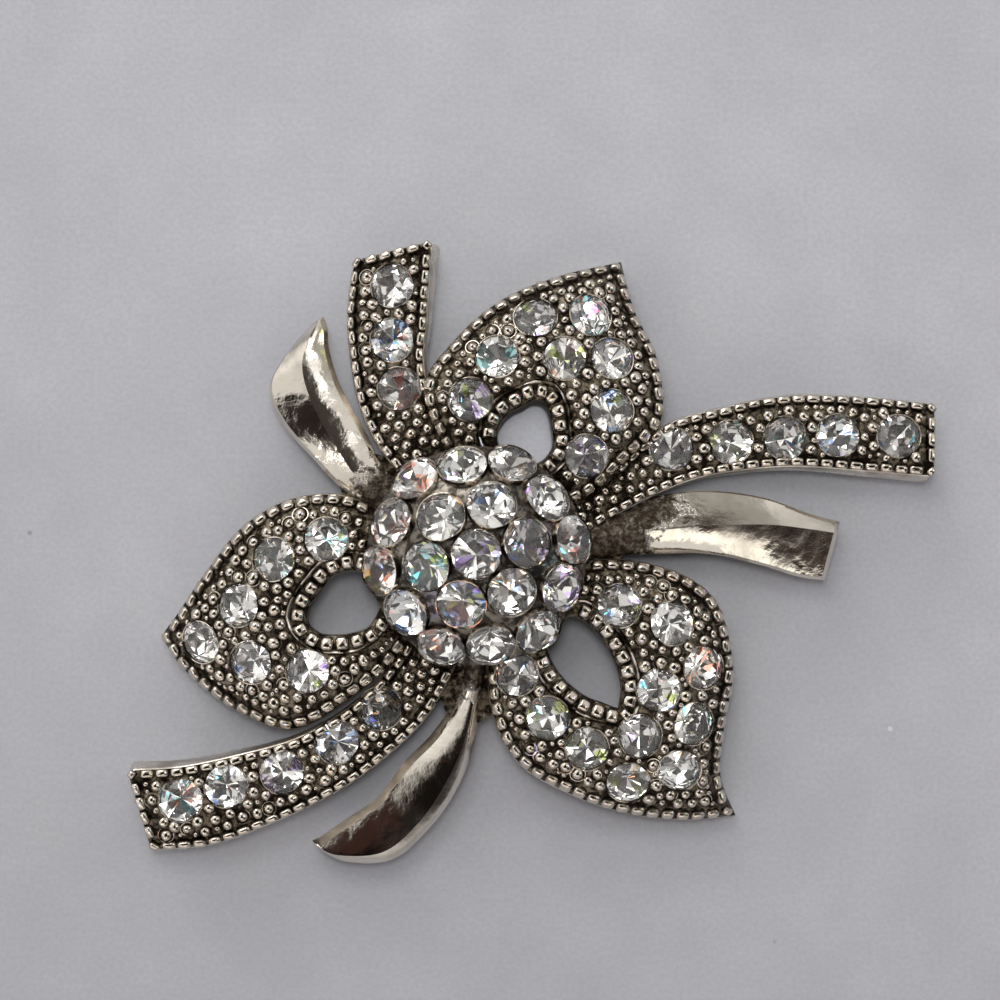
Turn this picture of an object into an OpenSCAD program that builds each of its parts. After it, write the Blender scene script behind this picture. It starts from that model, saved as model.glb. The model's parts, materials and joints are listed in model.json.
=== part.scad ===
// Bow brooch, cast in white metal: three pierced petals, three stone-set ribbon tails and three plain
// ribbon tails round a hub, with a domed cluster of nineteen clear stones on top and a pin behind.
// Every piece is drawn about the hub's upright axis, then moved so that the middle of the brooch's
// outline is over the origin. The brooch lies on z = 0 with its top edge towards +Y. Millimetres.

/* [Casting] */
// Thickness of the cast metal
cast_wall = 2; // [1.8:0.1:2.3]
// Width of the raised rims that carry the bead rows
rim_width = 0.8; // [0.7:0.1:1.1]
// Height of the raised rims above the stone fields
rim_height = 0.35; // [0.2:0.05:0.5]
// Width of the thin flange outside each rim
flange_width = 0.15; // [0.1:0.05:0.25]
// Distance of the hub's axis to the left of the outline's middle
hub_left = 3.8; // [3:0.1:5]
// Distance of the hub's axis below the outline's middle
hub_below = 0.3; // [0:0.1:1]

/* [Hub] */
// Radius of the hub below the cluster
hub_radius = 6.3; // [5.9:0.1:6.6]
// Height of the hub's flat top, where the dome sits
hub_top = 7.2; // [7:0.1:8]

/* [Petals] */
// Height of the edge of each petal's hole
hole_height = 6.4; // [6:0.1:6.6]
// Height of a petal's outer edge beside the hub
edge_height = 5.5; // [5.3:0.1:6]
// Arch of a petal's band across its width, as a share of that width
petal_arch = 0.13; // [0.05:0.01:0.16]
// Share of a petal's length at which its outer edge starts to droop
droop_start = 0.4; // [0.3:0.05:0.5]
// Length of the top petal from the hub's axis to its tip
petal_top_length = 23.2; // [22:0.1:25]
// Width of the top petal
petal_top_width = 15.8; // [15:0.1:17]
// Direction of the top petal
petal_top_angle = 64; // [62:1:66]
// Length of the left petal from the hub's axis to its tip
petal_left_length = 23; // [22:0.1:25]
// Width of the left petal
petal_left_width = 15.6; // [15:0.1:17]
// Direction of the left petal
petal_left_angle = 194; // [192:1:196]
// Length of the right petal from the hub's axis to its tip
petal_right_length = 25.7; // [24.5:0.1:27]
// Width of the right petal
petal_right_width = 17.7; // [17:0.1:19]
// Direction of the right petal
petal_right_angle = -45; // [-47:1:-43]

/* [Stone-set ribbons] */
// Height of a stone-set ribbon's face beside the hub
ribbon_root_height = 5.5; // [5.3:0.1:5.8]
// Height of the lower edge of a stone-set ribbon's end
ribbon_end_height = 4.3; // [3.5:0.1:5]
// Arch of a stone-set ribbon across its width, as a share of that width
ribbon_arch = 0.03; // [0:0.01:0.06]
// Length of the top ribbon from the hub's axis
ribbon_top_length = 22.4; // [21:0.1:24]
// Width of the top ribbon
ribbon_top_width = 6; // [5.6:0.1:6.6]
// Rise of the top ribbon's right edge at its end
ribbon_top_rise = 1.7; // [1:0.1:2]
// Direction of the top ribbon
ribbon_top_angle = 109; // [108:1:110]
// Length of the right ribbon from the hub's axis
ribbon_right_length = 33.4; // [31:0.1:36]
// Width of the right ribbon
ribbon_right_width = 5.6; // [5.2:0.1:6.2]
// Rise of the right ribbon's lower edge at its end
ribbon_right_rise = 0.9; // [0.4:0.1:1.6]
// Direction of the right ribbon
ribbon_right_angle = 16; // [15:1:17]
// Length of the left ribbon from the hub's axis
ribbon_left_length = 30.4; // [28:0.1:33]
// Width of the left ribbon
ribbon_left_width = 6; // [5.6:0.1:6.6]
// Rise of the left ribbon's upper edge at its end
ribbon_left_rise = 1.6; // [1:0.1:2]
// Direction of the left ribbon
ribbon_left_angle = 217; // [216:1:218]

/* [Plain ribbons] */
// Height of a plain ribbon's edges beside the hub
plain_root_height = 5.2; // [5:0.1:5.6]
// Height of a plain ribbon's edges at its end
plain_end_height = 4.2; // [3.5:0.1:5]
// Rise of the crease above a plain ribbon's edges
crease_rise = 0.7; // [0.3:0.1:1]
// Length of the upper left plain ribbon from the hub's axis
plain_top_length = 19.8; // [18:0.1:22]
// Width of the upper left plain ribbon
plain_top_width = 4.8; // [4.4:0.1:5.4]
// Direction of the upper left plain ribbon
plain_top_angle = 128; // [127:1:129]
// Length of the right plain ribbon from the hub's axis
plain_right_length = 25.2; // [23:0.1:28]
// Width of the right plain ribbon
plain_right_width = 4.6; // [4.2:0.1:5.2]
// Direction of the right plain ribbon
plain_right_angle = 2; // [1:1:3]
// Length of the lower plain ribbon from the hub's axis
plain_low_length = 23; // [21:0.1:25]
// Width of the lower plain ribbon
plain_low_width = 5; // [4.6:0.1:5.6]
// Direction of the lower plain ribbon
plain_low_angle = 246; // [245:1:247]

/* [Stones] */
// Diameter of the stones in the petals and ribbons
field_stone_d = 2.95; // [2.6:0.05:3]
// Diameter of the cluster's stones
cluster_stone_d = 3.35; // [3:0.05:3.35]
// Height of a stone's crown, as a share of its diameter
crown_share = 0.16; // [0.12:0.01:0.2]
// Depth of a stone's pavilion, as a share of its diameter
pavilion_share = 0.4; // [0.35:0.01:0.42]
// Width of a stone's table, as a share of its diameter
table_share = 0.56; // [0.5:0.01:0.62]
// Height of a stone's girdle where two of its lower facets meet
girdle_height = 0.16; // [0.14:0.01:0.2]
// Depth of a stone's girdle below the metal round it
stone_sink = 0.1; // [0:0.05:0.2]
// Clearance round a stone in its pit
stone_gap = 0.1; // [0.06:0.02:0.12]

/* [Cluster] */
// Radius of the sphere on which the cluster's girdles lie
cluster_sphere = 9.5; // [9.2:0.1:10.5]
// Distance of the inner ring's stones from the hub's axis
inner_ring = 3.5; // [3.45:0.05:3.6]
// Distance from the hub's axis of the outer ring's stones that lie outside an inner stone
outer_ring = 6.7; // [6.65:0.05:6.8]
// Distance from the hub's axis of the outer ring's stones that lie between two inner stones
nested_ring = 6.2; // [6.15:0.05:6.25]
// Reach of the dome's edge beyond the middles of the outer stones
dome_reach = 0.8; // [0.6:0.1:1]
// Direction of the inner ring's first stone
inner_turn = 13; // [0:1:59]
// Direction of the outer ring's first stone
outer_turn = 9; // [0:1:29]
// Height of the dome's edge on the hub
dome_lip = 0.35; // [0.2:0.05:0.5]
// Depth of the dome's face below the stones' girdles
dome_sink = 0.15; // [0.1:0.05:0.3]
// Clearance between pieces that sit on each other
seat_gap = 0.05; // [0.03:0.01:0.1]

/* [Pin] */
// Direction in which the pin lies
pin_angle = 109; // [107:1:111]
// Length of the pin's bar
bar_length = 25; // [22:0.5:26]
// Width of the pin's bar
bar_width = 3.4; // [2.8:0.1:3.8]
// Thickness of the pin's bar
bar_thickness = 0.8; // [0.6:0.1:0.9]
// Height of the top of the bar above the surface
bar_top = 2.8; // [2.6:0.1:2.8]
// Diameter of the pin's stem
stem_d = 0.8; // [0.7:0.05:0.9]
// Height of the stem's axis above the surface
stem_height = 0.95; // [0.9:0.05:1]
// Thickness of the hinge's ears and of the catch's strip
finding_gauge = 0.5; // [0.4:0.05:0.55]
// Length of the hinge's ears along the pin
hinge_length = 3.2; // [2.8:0.1:3.6]
// Width of the catch's strip along the pin
catch_width = 2.4; // [2:0.1:2.8]
// Height of the catch's lip above the stem's axis
catch_lip = 0.3; // [0.2:0.05:0.4]

/* [Hidden] */
inner_count = 6;
outer_count = 12;

silver = "#b4b0a8";
crystal = "#dfe7ee";
steel = "#a9a9ac";

// Heights of the hub's underside over the pin's bar, and of the petals' tips
bar_clear = bar_top + seat_gap;
tip_height = cast_wall + seat_gap;
// Middle of the sphere on which the cluster's girdles lie
dome_edge = outer_ring + dome_reach;
cluster_middle = hub_top + seat_gap + dome_lip - sqrt(cluster_sphere ^ 2 - dome_edge ^ 2);
// Largest shares of a narrow band's width that its flange and its rim take
flange_share = 0.08;
rim_share = 0.24;
// Thickness of the plain ribbons and of the webs at the hub, and the radius of the webs' outer ends
plain_wall = cast_wall - 0.4;
web_wall = cast_wall;
web_end = 2;
// Width of a pit's bottom as a share of its top, and how far a pit is cut above its stone's girdle
pit_bottom = 0.2;
cut_over = 2;
// Steps between two rows of a table, and the share of a step over which slopes are taken
row_steps = 2;
slope_step = 0.05;
// Turn of each stone about its own axis from the one before, and of the cluster's stones as a share
// of their direction
stone_turn = 37;
cluster_turn = 1.25;
// Sides of the smooth curves, of small round shapes and of the field stones' pits
fine = 96;
round_sides = 48;
pit_sides = 12;

// Columns of an arm
KIND = 0;
ANGLE = 1;
LENGTH = 2;
WIDTH = 3;
RISE = 4;
ROWS = 5;
STONES = 6;

// Petals go round their hole from the tip, by the left side, the hub and the right side, to the tip.
// Rows: [outer edge along, outer edge to the left, hole edge along, hole edge to the left], where
// along is a share of the length and to the left is a share of the width.
// Stones: [row, share of the way from the hole's edge to the outer edge].
top_rows = [
    [1.00, 0.00, 0.50, 0.05],
    [0.88, 0.21, 0.49, 0.08],
    [0.73, 0.40, 0.46, 0.11],
    [0.55, 0.51, 0.42, 0.15],
    [0.37, 0.53, 0.36, 0.16],
    [0.21, 0.26, 0.31, 0.11],
    [0.16, -0.03, 0.29, 0.03],
    [0.28, -0.30, 0.33, -0.07],
    [0.45, -0.41, 0.39, -0.09],
    [0.61, -0.47, 0.44, -0.05],
    [0.77, -0.34, 0.48, -0.01],
    [0.88, -0.15, 0.50, 0.03],
    [1.00, 0.00, 0.50, 0.05]
];
left_rows = [
    [1.00, 0.00, 0.54, 0.12],
    [0.95, 0.18, 0.53, 0.14],
    [0.83, 0.40, 0.51, 0.17],
    [0.67, 0.55, 0.47, 0.19],
    [0.49, 0.49, 0.42, 0.20],
    [0.30, 0.35, 0.36, 0.19],
    [0.17, 0.13, 0.31, 0.10],
    [0.18, -0.17, 0.31, -0.01],
    [0.32, -0.39, 0.37, -0.07],
    [0.49, -0.45, 0.43, -0.07],
    [0.66, -0.39, 0.47, -0.03],
    [0.82, -0.22, 0.52, 0.03],
    [0.93, -0.08, 0.54, 0.08],
    [1.00, 0.00, 0.54, 0.12]
];
right_rows = [
    [1.00, 0.00, 0.56, -0.03],
    [0.89, 0.07, 0.55, -0.01],
    [0.80, 0.22, 0.53, 0.03],
    [0.70, 0.41, 0.49, 0.07],
    [0.54, 0.54, 0.44, 0.10],
    [0.38, 0.49, 0.37, 0.12],
    [0.23, 0.32, 0.31, 0.11],
    [0.15, 0.07, 0.27, 0.06],
    [0.18, -0.18, 0.28, -0.02],
    [0.31, -0.38, 0.33, -0.08],
    [0.47, -0.46, 0.40, -0.10],
    [0.64, -0.40, 0.47, -0.09],
    [0.79, -0.29, 0.52, -0.06],
    [0.91, -0.15, 0.55, -0.04],
    [1.00, 0.00, 0.56, -0.03]
];

// Ribbons go out from the hub.
// Rows: [along, bend, width, turn], where along and bend to the left are shares of the length, width
// is a share of the width and turn is how far the section leans forwards on the left, in degrees.
// Stones: [row, share of the way from the left edge to the right edge].
ribbon_top_rows = [
    [0.22, 0.02, 0.63, 0],
    [0.41, 0.07, 0.80, -2],
    [0.58, 0.08, 0.87, -8],
    [0.73, 0.04, 0.98, -2],
    [0.85, 0.00, 1.00, 5],
    [0.98, -0.06, 0.96, 7]
];
ribbon_right_rows = [
    [0.17, 0.01, 0.51, -10],
    [0.32, 0.05, 0.53, -18],
    [0.45, 0.09, 0.76, -8],
    [0.56, 0.09, 0.82, 4],
    [0.70, 0.07, 0.91, 11],
    [0.85, 0.02, 0.95, 16],
    [0.98, -0.03, 0.93, 18]
];
ribbon_left_rows = [
    [0.16, 0.09, 0.67, 0],
    [0.30, 0.15, 0.73, 0],
    [0.44, 0.17, 0.74, 6],
    [0.58, 0.16, 0.79, 6],
    [0.72, 0.12, 0.90, 11],
    [0.85, 0.07, 1.00, 14],
    [0.96, 0.00, 0.99, 22]
];

// Plain ribbons have one more column, the crease's share of the way from the left edge to the right.
plain_top_rows = [
    [0.25, 0.07, 0.50, 0, 0.50],
    [0.44, 0.14, 0.67, 9, 0.40],
    [0.62, 0.14, 0.86, 7, 0.45],
    [0.78, 0.13, 1.00, 5, 0.52],
    [0.90, 0.09, 1.04, 5, 0.56],
    [0.96, 0.02, 0.81, 3, 0.60],
    [1.00, -0.07, 0.19, 6, 0.60]
];
plain_right_rows = [
    [0.20, 0.02, 0.57, 0, 0.50],
    [0.36, 0.05, 0.70, 0, 0.55],
    [0.52, 0.07, 0.89, 0, 0.60],
    [0.65, 0.07, 0.96, 0, 0.55],
    [0.79, 0.04, 1.04, 0, 0.40],
    [0.90, 0.00, 0.97, 10, 0.25],
    [0.98, -0.02, 0.91, 17, 0.20]
];
plain_low_rows = [
    [0.22, 0.10, 0.36, 0, 0.30],
    [0.39, 0.15, 0.34, 0, 0.30],
    [0.54, 0.16, 0.60, 4, 0.25],
    [0.67, 0.14, 0.82, 11, 0.22],
    [0.80, 0.11, 0.82, 14, 0.20],
    [0.91, 0.05, 0.83, 20, 0.20],
    [0.98, -0.04, 0.45, 27, 0.25],
    [0.99, -0.09, 0.15, 23, 0.30]
];

petal_top = ["petal", petal_top_angle, petal_top_length, petal_top_width, 0, top_rows, [
    [1.4, 0.65], [11.9, 0.55], [2.4, 0.50], [11.9, 0.25],
    [10.5, 0.60], [3.6, 0.40], [9.3, 0.50], [7.9, 0.45]
]];
petal_left = ["petal", petal_left_angle, petal_left_length, petal_left_width, 0, left_rows, [
    [8.7, 0.40], [10.2, 0.50], [11.6, 0.50], [0.4, 0.70], [1.4, 0.50], [2.7, 0.35]
]];
petal_right = ["petal", petal_right_angle, petal_right_length, petal_right_width, 0, right_rows, [
    [5.1, 0.35], [4.0, 0.55], [3.0, 0.70], [2.4, 0.30], [1.8, 0.65], [13.4, 0.20],
    [10.1, 0.40], [11.2, 0.45], [12.1, 0.65], [13.7, 0.50], [8.8, 0.50]
]];
ribbon_top = [
    "ribbon", ribbon_top_angle, ribbon_top_length, ribbon_top_width, ribbon_top_rise, ribbon_top_rows,
    [[4.2, 0.55], [2.9, 0.55], [1.9, 0.60]]
];
ribbon_right = [
    "ribbon", ribbon_right_angle, ribbon_right_length, ribbon_right_width, ribbon_right_rise,
    ribbon_right_rows, [[2.0, 0.40], [3.1, 0.55], [3.9, 0.60], [4.6, 0.55], [5.4, 0.50]]
];
ribbon_left = [
    "ribbon", ribbon_left_angle, ribbon_left_length, ribbon_left_width, ribbon_left_rise,
    ribbon_left_rows, [[5.2, 0.60], [4.4, 0.65], [3.5, 0.60], [2.5, 0.65], [1.6, 0.65]]
];
plain_top = ["plain", plain_top_angle, plain_top_length, plain_top_width, 0, plain_top_rows, []];
plain_right = ["plain", plain_right_angle, plain_right_length, plain_right_width, 0, plain_right_rows, []];
plain_low = ["plain", plain_low_angle, plain_low_length, plain_low_width, 0, plain_low_rows, []];
PETALS = [petal_top, petal_left, petal_right];
RIBBONS = [ribbon_top, ribbon_right, ribbon_left];
PLAINS = [plain_top, plain_right, plain_low];

// The row of a table at a place between its rows, on a smooth curve through them
function row_at(rows, place) =
    let (
        last = len(rows) - 1,
        i = min(floor(place), last - 1),
        t = place - i,
        a = rows[max(i - 1, 0)],
        b = rows[i],
        c = rows[i + 1],
        d = rows[min(i + 2, last)]
    )
    (2 * b + (c - a) * t + (2 * a - 5 * b + 4 * c - d) * t ^ 2 + (3 * b - a - 3 * c + d) * t ^ 3) / 2;

// Height of a petal's outer edge at a share of the petal's length
function petal_edge_height(share) =
    edge_height - (edge_height - tip_height) * (max(0, share - droop_start) / (1 - droop_start)) ^ 2;

// The two top edges of an arm's band at a place in its table: left and right of the way it goes
function petal_edges(arm, row) = [
    [row[2] * arm[LENGTH], row[3] * arm[WIDTH], hole_height],
    [row[0] * arm[LENGTH], row[1] * arm[WIDTH], petal_edge_height(row[0])]
];
function ribbon_edges(arm, row, root, end) =
    let (
        rows = arm[ROWS],
        first = rows[0][0],
        progress = (row[0] - first) / (rows[len(rows) - 1][0] - first),
        middle = [row[0], row[1], 0] * arm[LENGTH],
        half = [sin(row[3]), cos(row[3]), 0] * row[2] * arm[WIDTH] / 2,
        height = root + (end - root) * progress
    )
    [
        middle + half + [0, 0, height],
        middle - half + [0, 0, height + arm[RISE] * progress ^ 2]
    ];
function arm_edges(arm, place) =
    let (row = row_at(arm[ROWS], place))
    arm[KIND] == "petal" ? petal_edges(arm, row)
    : arm[KIND] == "ribbon" ? ribbon_edges(arm, row, ribbon_root_height, ribbon_end_height)
    : ribbon_edges(arm, row, plain_root_height, plain_end_height);

// A point of a section: a distance from its left edge and a lift off the line between its edges
function section_point(edges, distance, lift) =
    let (
        across = (edges[1] - edges[0]) / norm(edges[1] - edges[0]),
        up = [0, 0, 1] - across * across.z
    )
    edges[0] + across * distance + up / norm(up) * lift;

function arch_of(arm) = arm[KIND] == "petal" ? petal_arch : ribbon_arch;
function arch_lift(arm, width, share) = arch_of(arm) * width * 4 * share * (1 - share);

// A stone-set band's section, with a flange and a raised rim along each edge
function band_section(arm, place) =
    let (
        edges = arm_edges(arm, place),
        width = norm(edges[1] - edges[0]),
        flange = min(flange_width, width * flange_share),
        rim = min(rim_width, width * rim_share),
        inner = flange + rim + rim_height / 2,
        left = [[0, 0], [flange, rim_height], [flange + rim, rim_height], [inner, 0]],
        field = [for (share = [0.38, 0.5, 0.62]) [width * share, 0]],
        right = [for (i = [3:-1:0]) [width - left[i][0], left[i][1]]]
    )
    concat(
        [for (p = concat(left, field, right))
            section_point(edges, p[0], p[1] + arch_lift(arm, width, p[0] / width))],
        [for (share = [1, 0.5])
            section_point(edges, width * share, arch_lift(arm, width, share) - cast_wall)],
        [arm[KIND] == "petal" ? edges[0] - [0, 0, cast_wall] : section_point(edges, 0, -cast_wall)]
    );

// A plain ribbon's section, with two facets that meet at a crease
function plain_section(arm, place) =
    let (
        edges = arm_edges(arm, place),
        width = norm(edges[1] - edges[0]),
        crease = row_at(arm[ROWS], place)[4] * width
    )
    [
        section_point(edges, 0, 0),
        section_point(edges, crease, crease_rise * min(1, width / arm[WIDTH])),
        section_point(edges, width, 0),
        section_point(edges, width, -plain_wall),
        section_point(edges, 0, -plain_wall)
    ];

// Points and faces of a skin over a row of sections, closed into a ring or capped at both ends
module skin(sections, ring = false) {
    count = len(sections);
    size = len(sections[0]);
    spans = ring ? count : count - 1;
    sides = [
        for (i = [0:spans - 1], j = [0:size - 1])
            let (
                a = i * size + j,
                b = ((i + 1) % count) * size + j,
                c = ((i + 1) % count) * size + (j + 1) % size,
                d = i * size + (j + 1) % size
            )
            each [[a, b, c], [a, c, d]]
    ];
    caps = ring ? [] : [
        [for (j = [0:size - 1]) j],
        [for (j = [size - 1:-1:0]) (count - 1) * size + j]
    ];
    polyhedron([for (s = sections) each s], concat(sides, caps));
}

// Places along an arm's table at which its sections are taken
function places(last) = [for (i = [0:last]) i / row_steps];
function last_place(arm) = (len(arm[ROWS]) - 1) * row_steps;

module petal(arm) {
    rotate([0, 0, arm[ANGLE]])
        skin([for (p = places(last_place(arm) - 1)) band_section(arm, p)], ring = true);
}

module stone_ribbon(arm) {
    rotate([0, 0, arm[ANGLE]])
        skin([for (p = places(last_place(arm))) band_section(arm, p)]);
}

module plain_ribbon(arm) {
    sections = [for (p = places(last_place(arm))) plain_section(arm, p)];
    rotate([0, 0, arm[ANGLE]])
        for (i = [0:len(sections) - 2])
            hull()
                skin([sections[i], sections[i + 1]]);
}

// Puts its children at a point, standing along a direction
module stand(point, direction) {
    translate(point)
        rotate([0, acos(direction.z / norm(direction)), atan2(direction.y, direction.x)])
            children();
}

// Puts its children at each stone of an arm, square to the band's face and each turned its own way
module at_stones(arm) {
    rotate([0, 0, arm[ANGLE]])
        for (i = [0:len(arm[STONES]) - 1]) {
            place = arm[STONES][i][0];
            share = arm[STONES][i][1];
            stand(face_point(arm, place, share), face_direction(arm, place, share))
                rotate([0, 0, stone_turn * i])
                    children();
        }
}
function face_point(arm, place, share) =
    let (
        edges = arm_edges(arm, place),
        width = norm(edges[1] - edges[0])
    )
    section_point(edges, width * share, arch_lift(arm, width, share));
function face_direction(arm, place, share) =
    cross(
        face_point(arm, place, share + slope_step) - face_point(arm, place, share - slope_step),
        face_point(arm, place + slope_step, share) - face_point(arm, place - slope_step, share)
    );

// A round brilliant with eight large facets below: its girdle's top is at z = 0
module stone(d) {
    crown = d * crown_share;
    pavilion = d * pavilion_share;
    r = d / 2;
    table_r = r * table_share / cos(22.5);
    star_r = (r + table_r) / 2;
    star_z = crown * (r - star_r * cos(22.5)) / (r - table_r);
    scallop = pavilion * (1 / cos(22.5) - 1);
    points = concat(
        [for (i = [0:7]) [table_r * cos(45 * i), table_r * sin(45 * i), crown]],
        [for (i = [0:7]) [star_r * cos(45 * i + 22.5), star_r * sin(45 * i + 22.5), star_z]],
        [for (i = [0:15]) [r * cos(22.5 * i), r * sin(22.5 * i), 0]],
        [for (i = [0:15]) [r * cos(22.5 * i), r * sin(22.5 * i), (i % 2) * scallop - girdle_height]],
        [[0, 0, -girdle_height - pavilion]]
    );
    faces = concat(
        [[for (i = [7:-1:0]) i]],
        [for (i = [0:7]) [i, (i + 1) % 8, 8 + i]],
        [for (i = [0:7]) [i, 8 + i, 16 + 2 * i, 8 + (i + 7) % 8]],
        [for (i = [0:7]) [8 + i, 17 + 2 * i, 16 + 2 * i]],
        [for (i = [0:7]) [8 + i, 16 + (2 * i + 2) % 16, 17 + 2 * i]],
        [for (i = [0:15]) [16 + i, 16 + (i + 1) % 16, 32 + (i + 1) % 16, 32 + i]],
        [for (i = [0:7]) [32 + 2 * i, 33 + 2 * i, 32 + (2 * i + 2) % 16, 48]]
    );
    polyhedron(points, faces);
}

// The space that a stone needs in the metal
module pit(d, sides) {
    bottom = -girdle_height - d * pavilion_share - stone_gap;
    wide = d / 2 + stone_gap;
    rotate_extrude($fn = sides)
        polygon([
            [0, bottom],
            [wide * pit_bottom, bottom],
            [wide, -girdle_height],
            [wide, cut_over],
            [0, cut_over]
        ]);
}

// Directions of the cluster's stones from the hub's axis
function inner_direction(i) = inner_turn + i * 360 / inner_count;
function outer_direction(i) = outer_turn + i * 360 / outer_count;
// The outer stones lie outside an inner stone and between two of them by turns
function outer_distance(i) = i % 2 == 0 ? outer_ring : nested_ring;

// Puts its children on the cluster's sphere, at a distance from the hub's axis and a direction
module on_cluster(distance, direction) {
    translate([0, 0, cluster_middle])
        rotate([0, asin(distance / cluster_sphere), direction])
            translate([0, 0, cluster_sphere])
                rotate([0, 0, cluster_turn * direction])
                    children();
}

module hub() {
    translate([0, 0, bar_clear])
        cylinder(h = hub_top - bar_clear, r = hub_radius, $fn = round_sides);
}

// Webs of metal that fill the corners between neighbouring arms at the hub
module webs() {
    for (arm = concat(RIBBONS, PLAINS)) {
        edges = arm_edges(arm, 1);
        middle = (edges[0] + edges[1]) / 2;
        hull() {
            translate([0, 0, bar_clear])
                cylinder(h = web_wall, r = hub_radius - web_end / 2, $fn = round_sides / 2);
            rotate([0, 0, arm[ANGLE]])
                translate([middle.x, middle.y, bar_clear])
                    cylinder(h = web_wall, r = web_end, $fn = pit_sides);
        }
    }
}

module casting() {
    color(silver)
        difference() {
            union() {
                for (arm = PETALS)
                    petal(arm);
                for (arm = RIBBONS)
                    stone_ribbon(arm);
                for (arm = PLAINS)
                    plain_ribbon(arm);
                hub();
                webs();
            }
            for (arm = concat(PETALS, RIBBONS))
                at_stones(arm)
                    translate([0, 0, -stone_sink])
                        pit(field_stone_d, pit_sides);
        }
}

module stone_dome() {
    dome_radius = cluster_sphere - dome_sink;
    color(silver)
        difference() {
            intersection() {
                translate([0, 0, cluster_middle])
                    sphere(r = dome_radius, $fn = fine);
                translate([0, 0, hub_top + seat_gap])
                    cylinder(h = cluster_sphere, r = dome_edge, $fn = fine);
            }
            on_cluster(0, 0)
                pit(cluster_stone_d, round_sides);
            for (i = [1:inner_count])
                on_cluster(inner_ring, inner_direction(i))
                    pit(cluster_stone_d, round_sides);
            for (i = [1:outer_count])
                on_cluster(outer_distance(i), outer_direction(i))
                    pit(cluster_stone_d, round_sides);
        }
}

module cluster_stone(distance, direction) {
    color(crystal)
        on_cluster(distance, direction)
            stone(cluster_stone_d);
}

module stones_of(arm) {
    color(crystal)
        at_stones(arm)
            translate([0, 0, -stone_sink])
                stone(field_stone_d);
}

// The pin lies along x here, with its hinge at +x and its catch at -x
module pin_back() {
    bar_bottom = bar_top - bar_thickness;
    reach = bar_length / 2 - bar_width / 2;
    color(steel)
        rotate([0, 0, pin_angle]) {
            translate([-reach, -bar_width / 2, bar_bottom])
                cube([2 * reach, bar_width, bar_thickness]);
            for (side = [-1, 1])
                translate([side * reach, 0, bar_bottom])
                    cylinder(h = bar_thickness, r = bar_width / 2, $fn = round_sides);
            for (ear = [stem_d / 2, -stem_d / 2 - finding_gauge])
                translate([reach - hinge_length / 2, ear, 0])
                    cube([hinge_length, finding_gauge, bar_bottom + seat_gap]);
            translate([reach, stem_d, stem_height])
                rotate([90, 0, 0])
                    cylinder(h = 2 * stem_d, r = stem_d, $fn = round_sides);
            translate([-reach - 1, 0, stem_height])
                rotate([0, 90, 0])
                    cylinder(h = 2 * reach + 1, r = stem_d / 2, $fn = round_sides);
            catch();
        }
}

// The catch is a strip bent under the stem's end
module catch() {
    bar_bottom = bar_top - bar_thickness;
    reach = bar_length / 2 - bar_width / 2;
    inside = stem_d / 2 + stone_gap;
    translate([-reach + catch_width / 2, 0, 0])
        rotate([90, 0, -90])
            linear_extrude(catch_width)
                polygon([
                    [-inside - finding_gauge, 0],
                    [inside + finding_gauge, 0],
                    [inside + finding_gauge, stem_height + catch_lip],
                    [inside, stem_height + catch_lip],
                    [inside, stem_height - inside],
                    [-inside, stem_height - inside],
                    [-inside, bar_bottom + seat_gap],
                    [-inside - finding_gauge, bar_bottom + seat_gap]
                ]);
}

// Moves what is drawn about the hub's axis to its place about the outline's middle
module placed() {
    translate([-hub_left, -hub_below, 0])
        children();
}

placed() casting();
placed() stone_dome();
placed() cluster_stone(0, 0);  // cluster_stone_centre
for (i = [1:inner_count])
    placed() cluster_stone(inner_ring, inner_direction(i));
for (i = [1:outer_count])
    placed() cluster_stone(outer_distance(i), outer_direction(i));
placed() stones_of(petal_top);  // petal_top_stones
placed() stones_of(petal_left);  // petal_left_stones
placed() stones_of(petal_right);  // petal_right_stones
placed() stones_of(ribbon_top);  // ribbon_top_stones
placed() stones_of(ribbon_right);  // ribbon_right_stones
placed() stones_of(ribbon_left);  // ribbon_left_stones
placed() pin_back();
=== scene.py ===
import json
import math
import random
from collections import namedtuple

import bmesh
import bpy
from mathutils import Matrix, Vector, noise
from mathutils.bvhtree import BVHTree
from mathutils.kdtree import KDTree

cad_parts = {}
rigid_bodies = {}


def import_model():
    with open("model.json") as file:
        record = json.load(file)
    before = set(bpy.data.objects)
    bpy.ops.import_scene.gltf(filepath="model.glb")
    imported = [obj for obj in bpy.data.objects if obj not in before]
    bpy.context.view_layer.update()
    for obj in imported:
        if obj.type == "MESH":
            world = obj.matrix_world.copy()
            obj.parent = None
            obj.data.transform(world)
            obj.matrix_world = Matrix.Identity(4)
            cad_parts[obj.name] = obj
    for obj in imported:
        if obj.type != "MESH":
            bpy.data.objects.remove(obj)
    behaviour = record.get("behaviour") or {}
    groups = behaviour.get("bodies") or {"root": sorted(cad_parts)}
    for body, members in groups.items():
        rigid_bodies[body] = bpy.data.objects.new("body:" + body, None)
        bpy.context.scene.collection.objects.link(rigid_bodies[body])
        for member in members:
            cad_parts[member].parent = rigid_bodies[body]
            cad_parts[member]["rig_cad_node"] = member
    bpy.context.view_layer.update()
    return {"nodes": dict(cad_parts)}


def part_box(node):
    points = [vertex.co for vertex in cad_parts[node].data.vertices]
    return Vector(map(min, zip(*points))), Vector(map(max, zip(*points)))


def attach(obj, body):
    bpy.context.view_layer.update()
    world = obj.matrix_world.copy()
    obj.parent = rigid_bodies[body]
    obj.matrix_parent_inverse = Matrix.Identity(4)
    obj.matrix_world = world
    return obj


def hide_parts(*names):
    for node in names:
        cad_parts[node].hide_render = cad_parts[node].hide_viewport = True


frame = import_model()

# Shapes are worked out in millimetres about the hub's upright axis, with z = 0 under the brooch,
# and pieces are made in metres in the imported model's frame.
MM = 0.001
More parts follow.
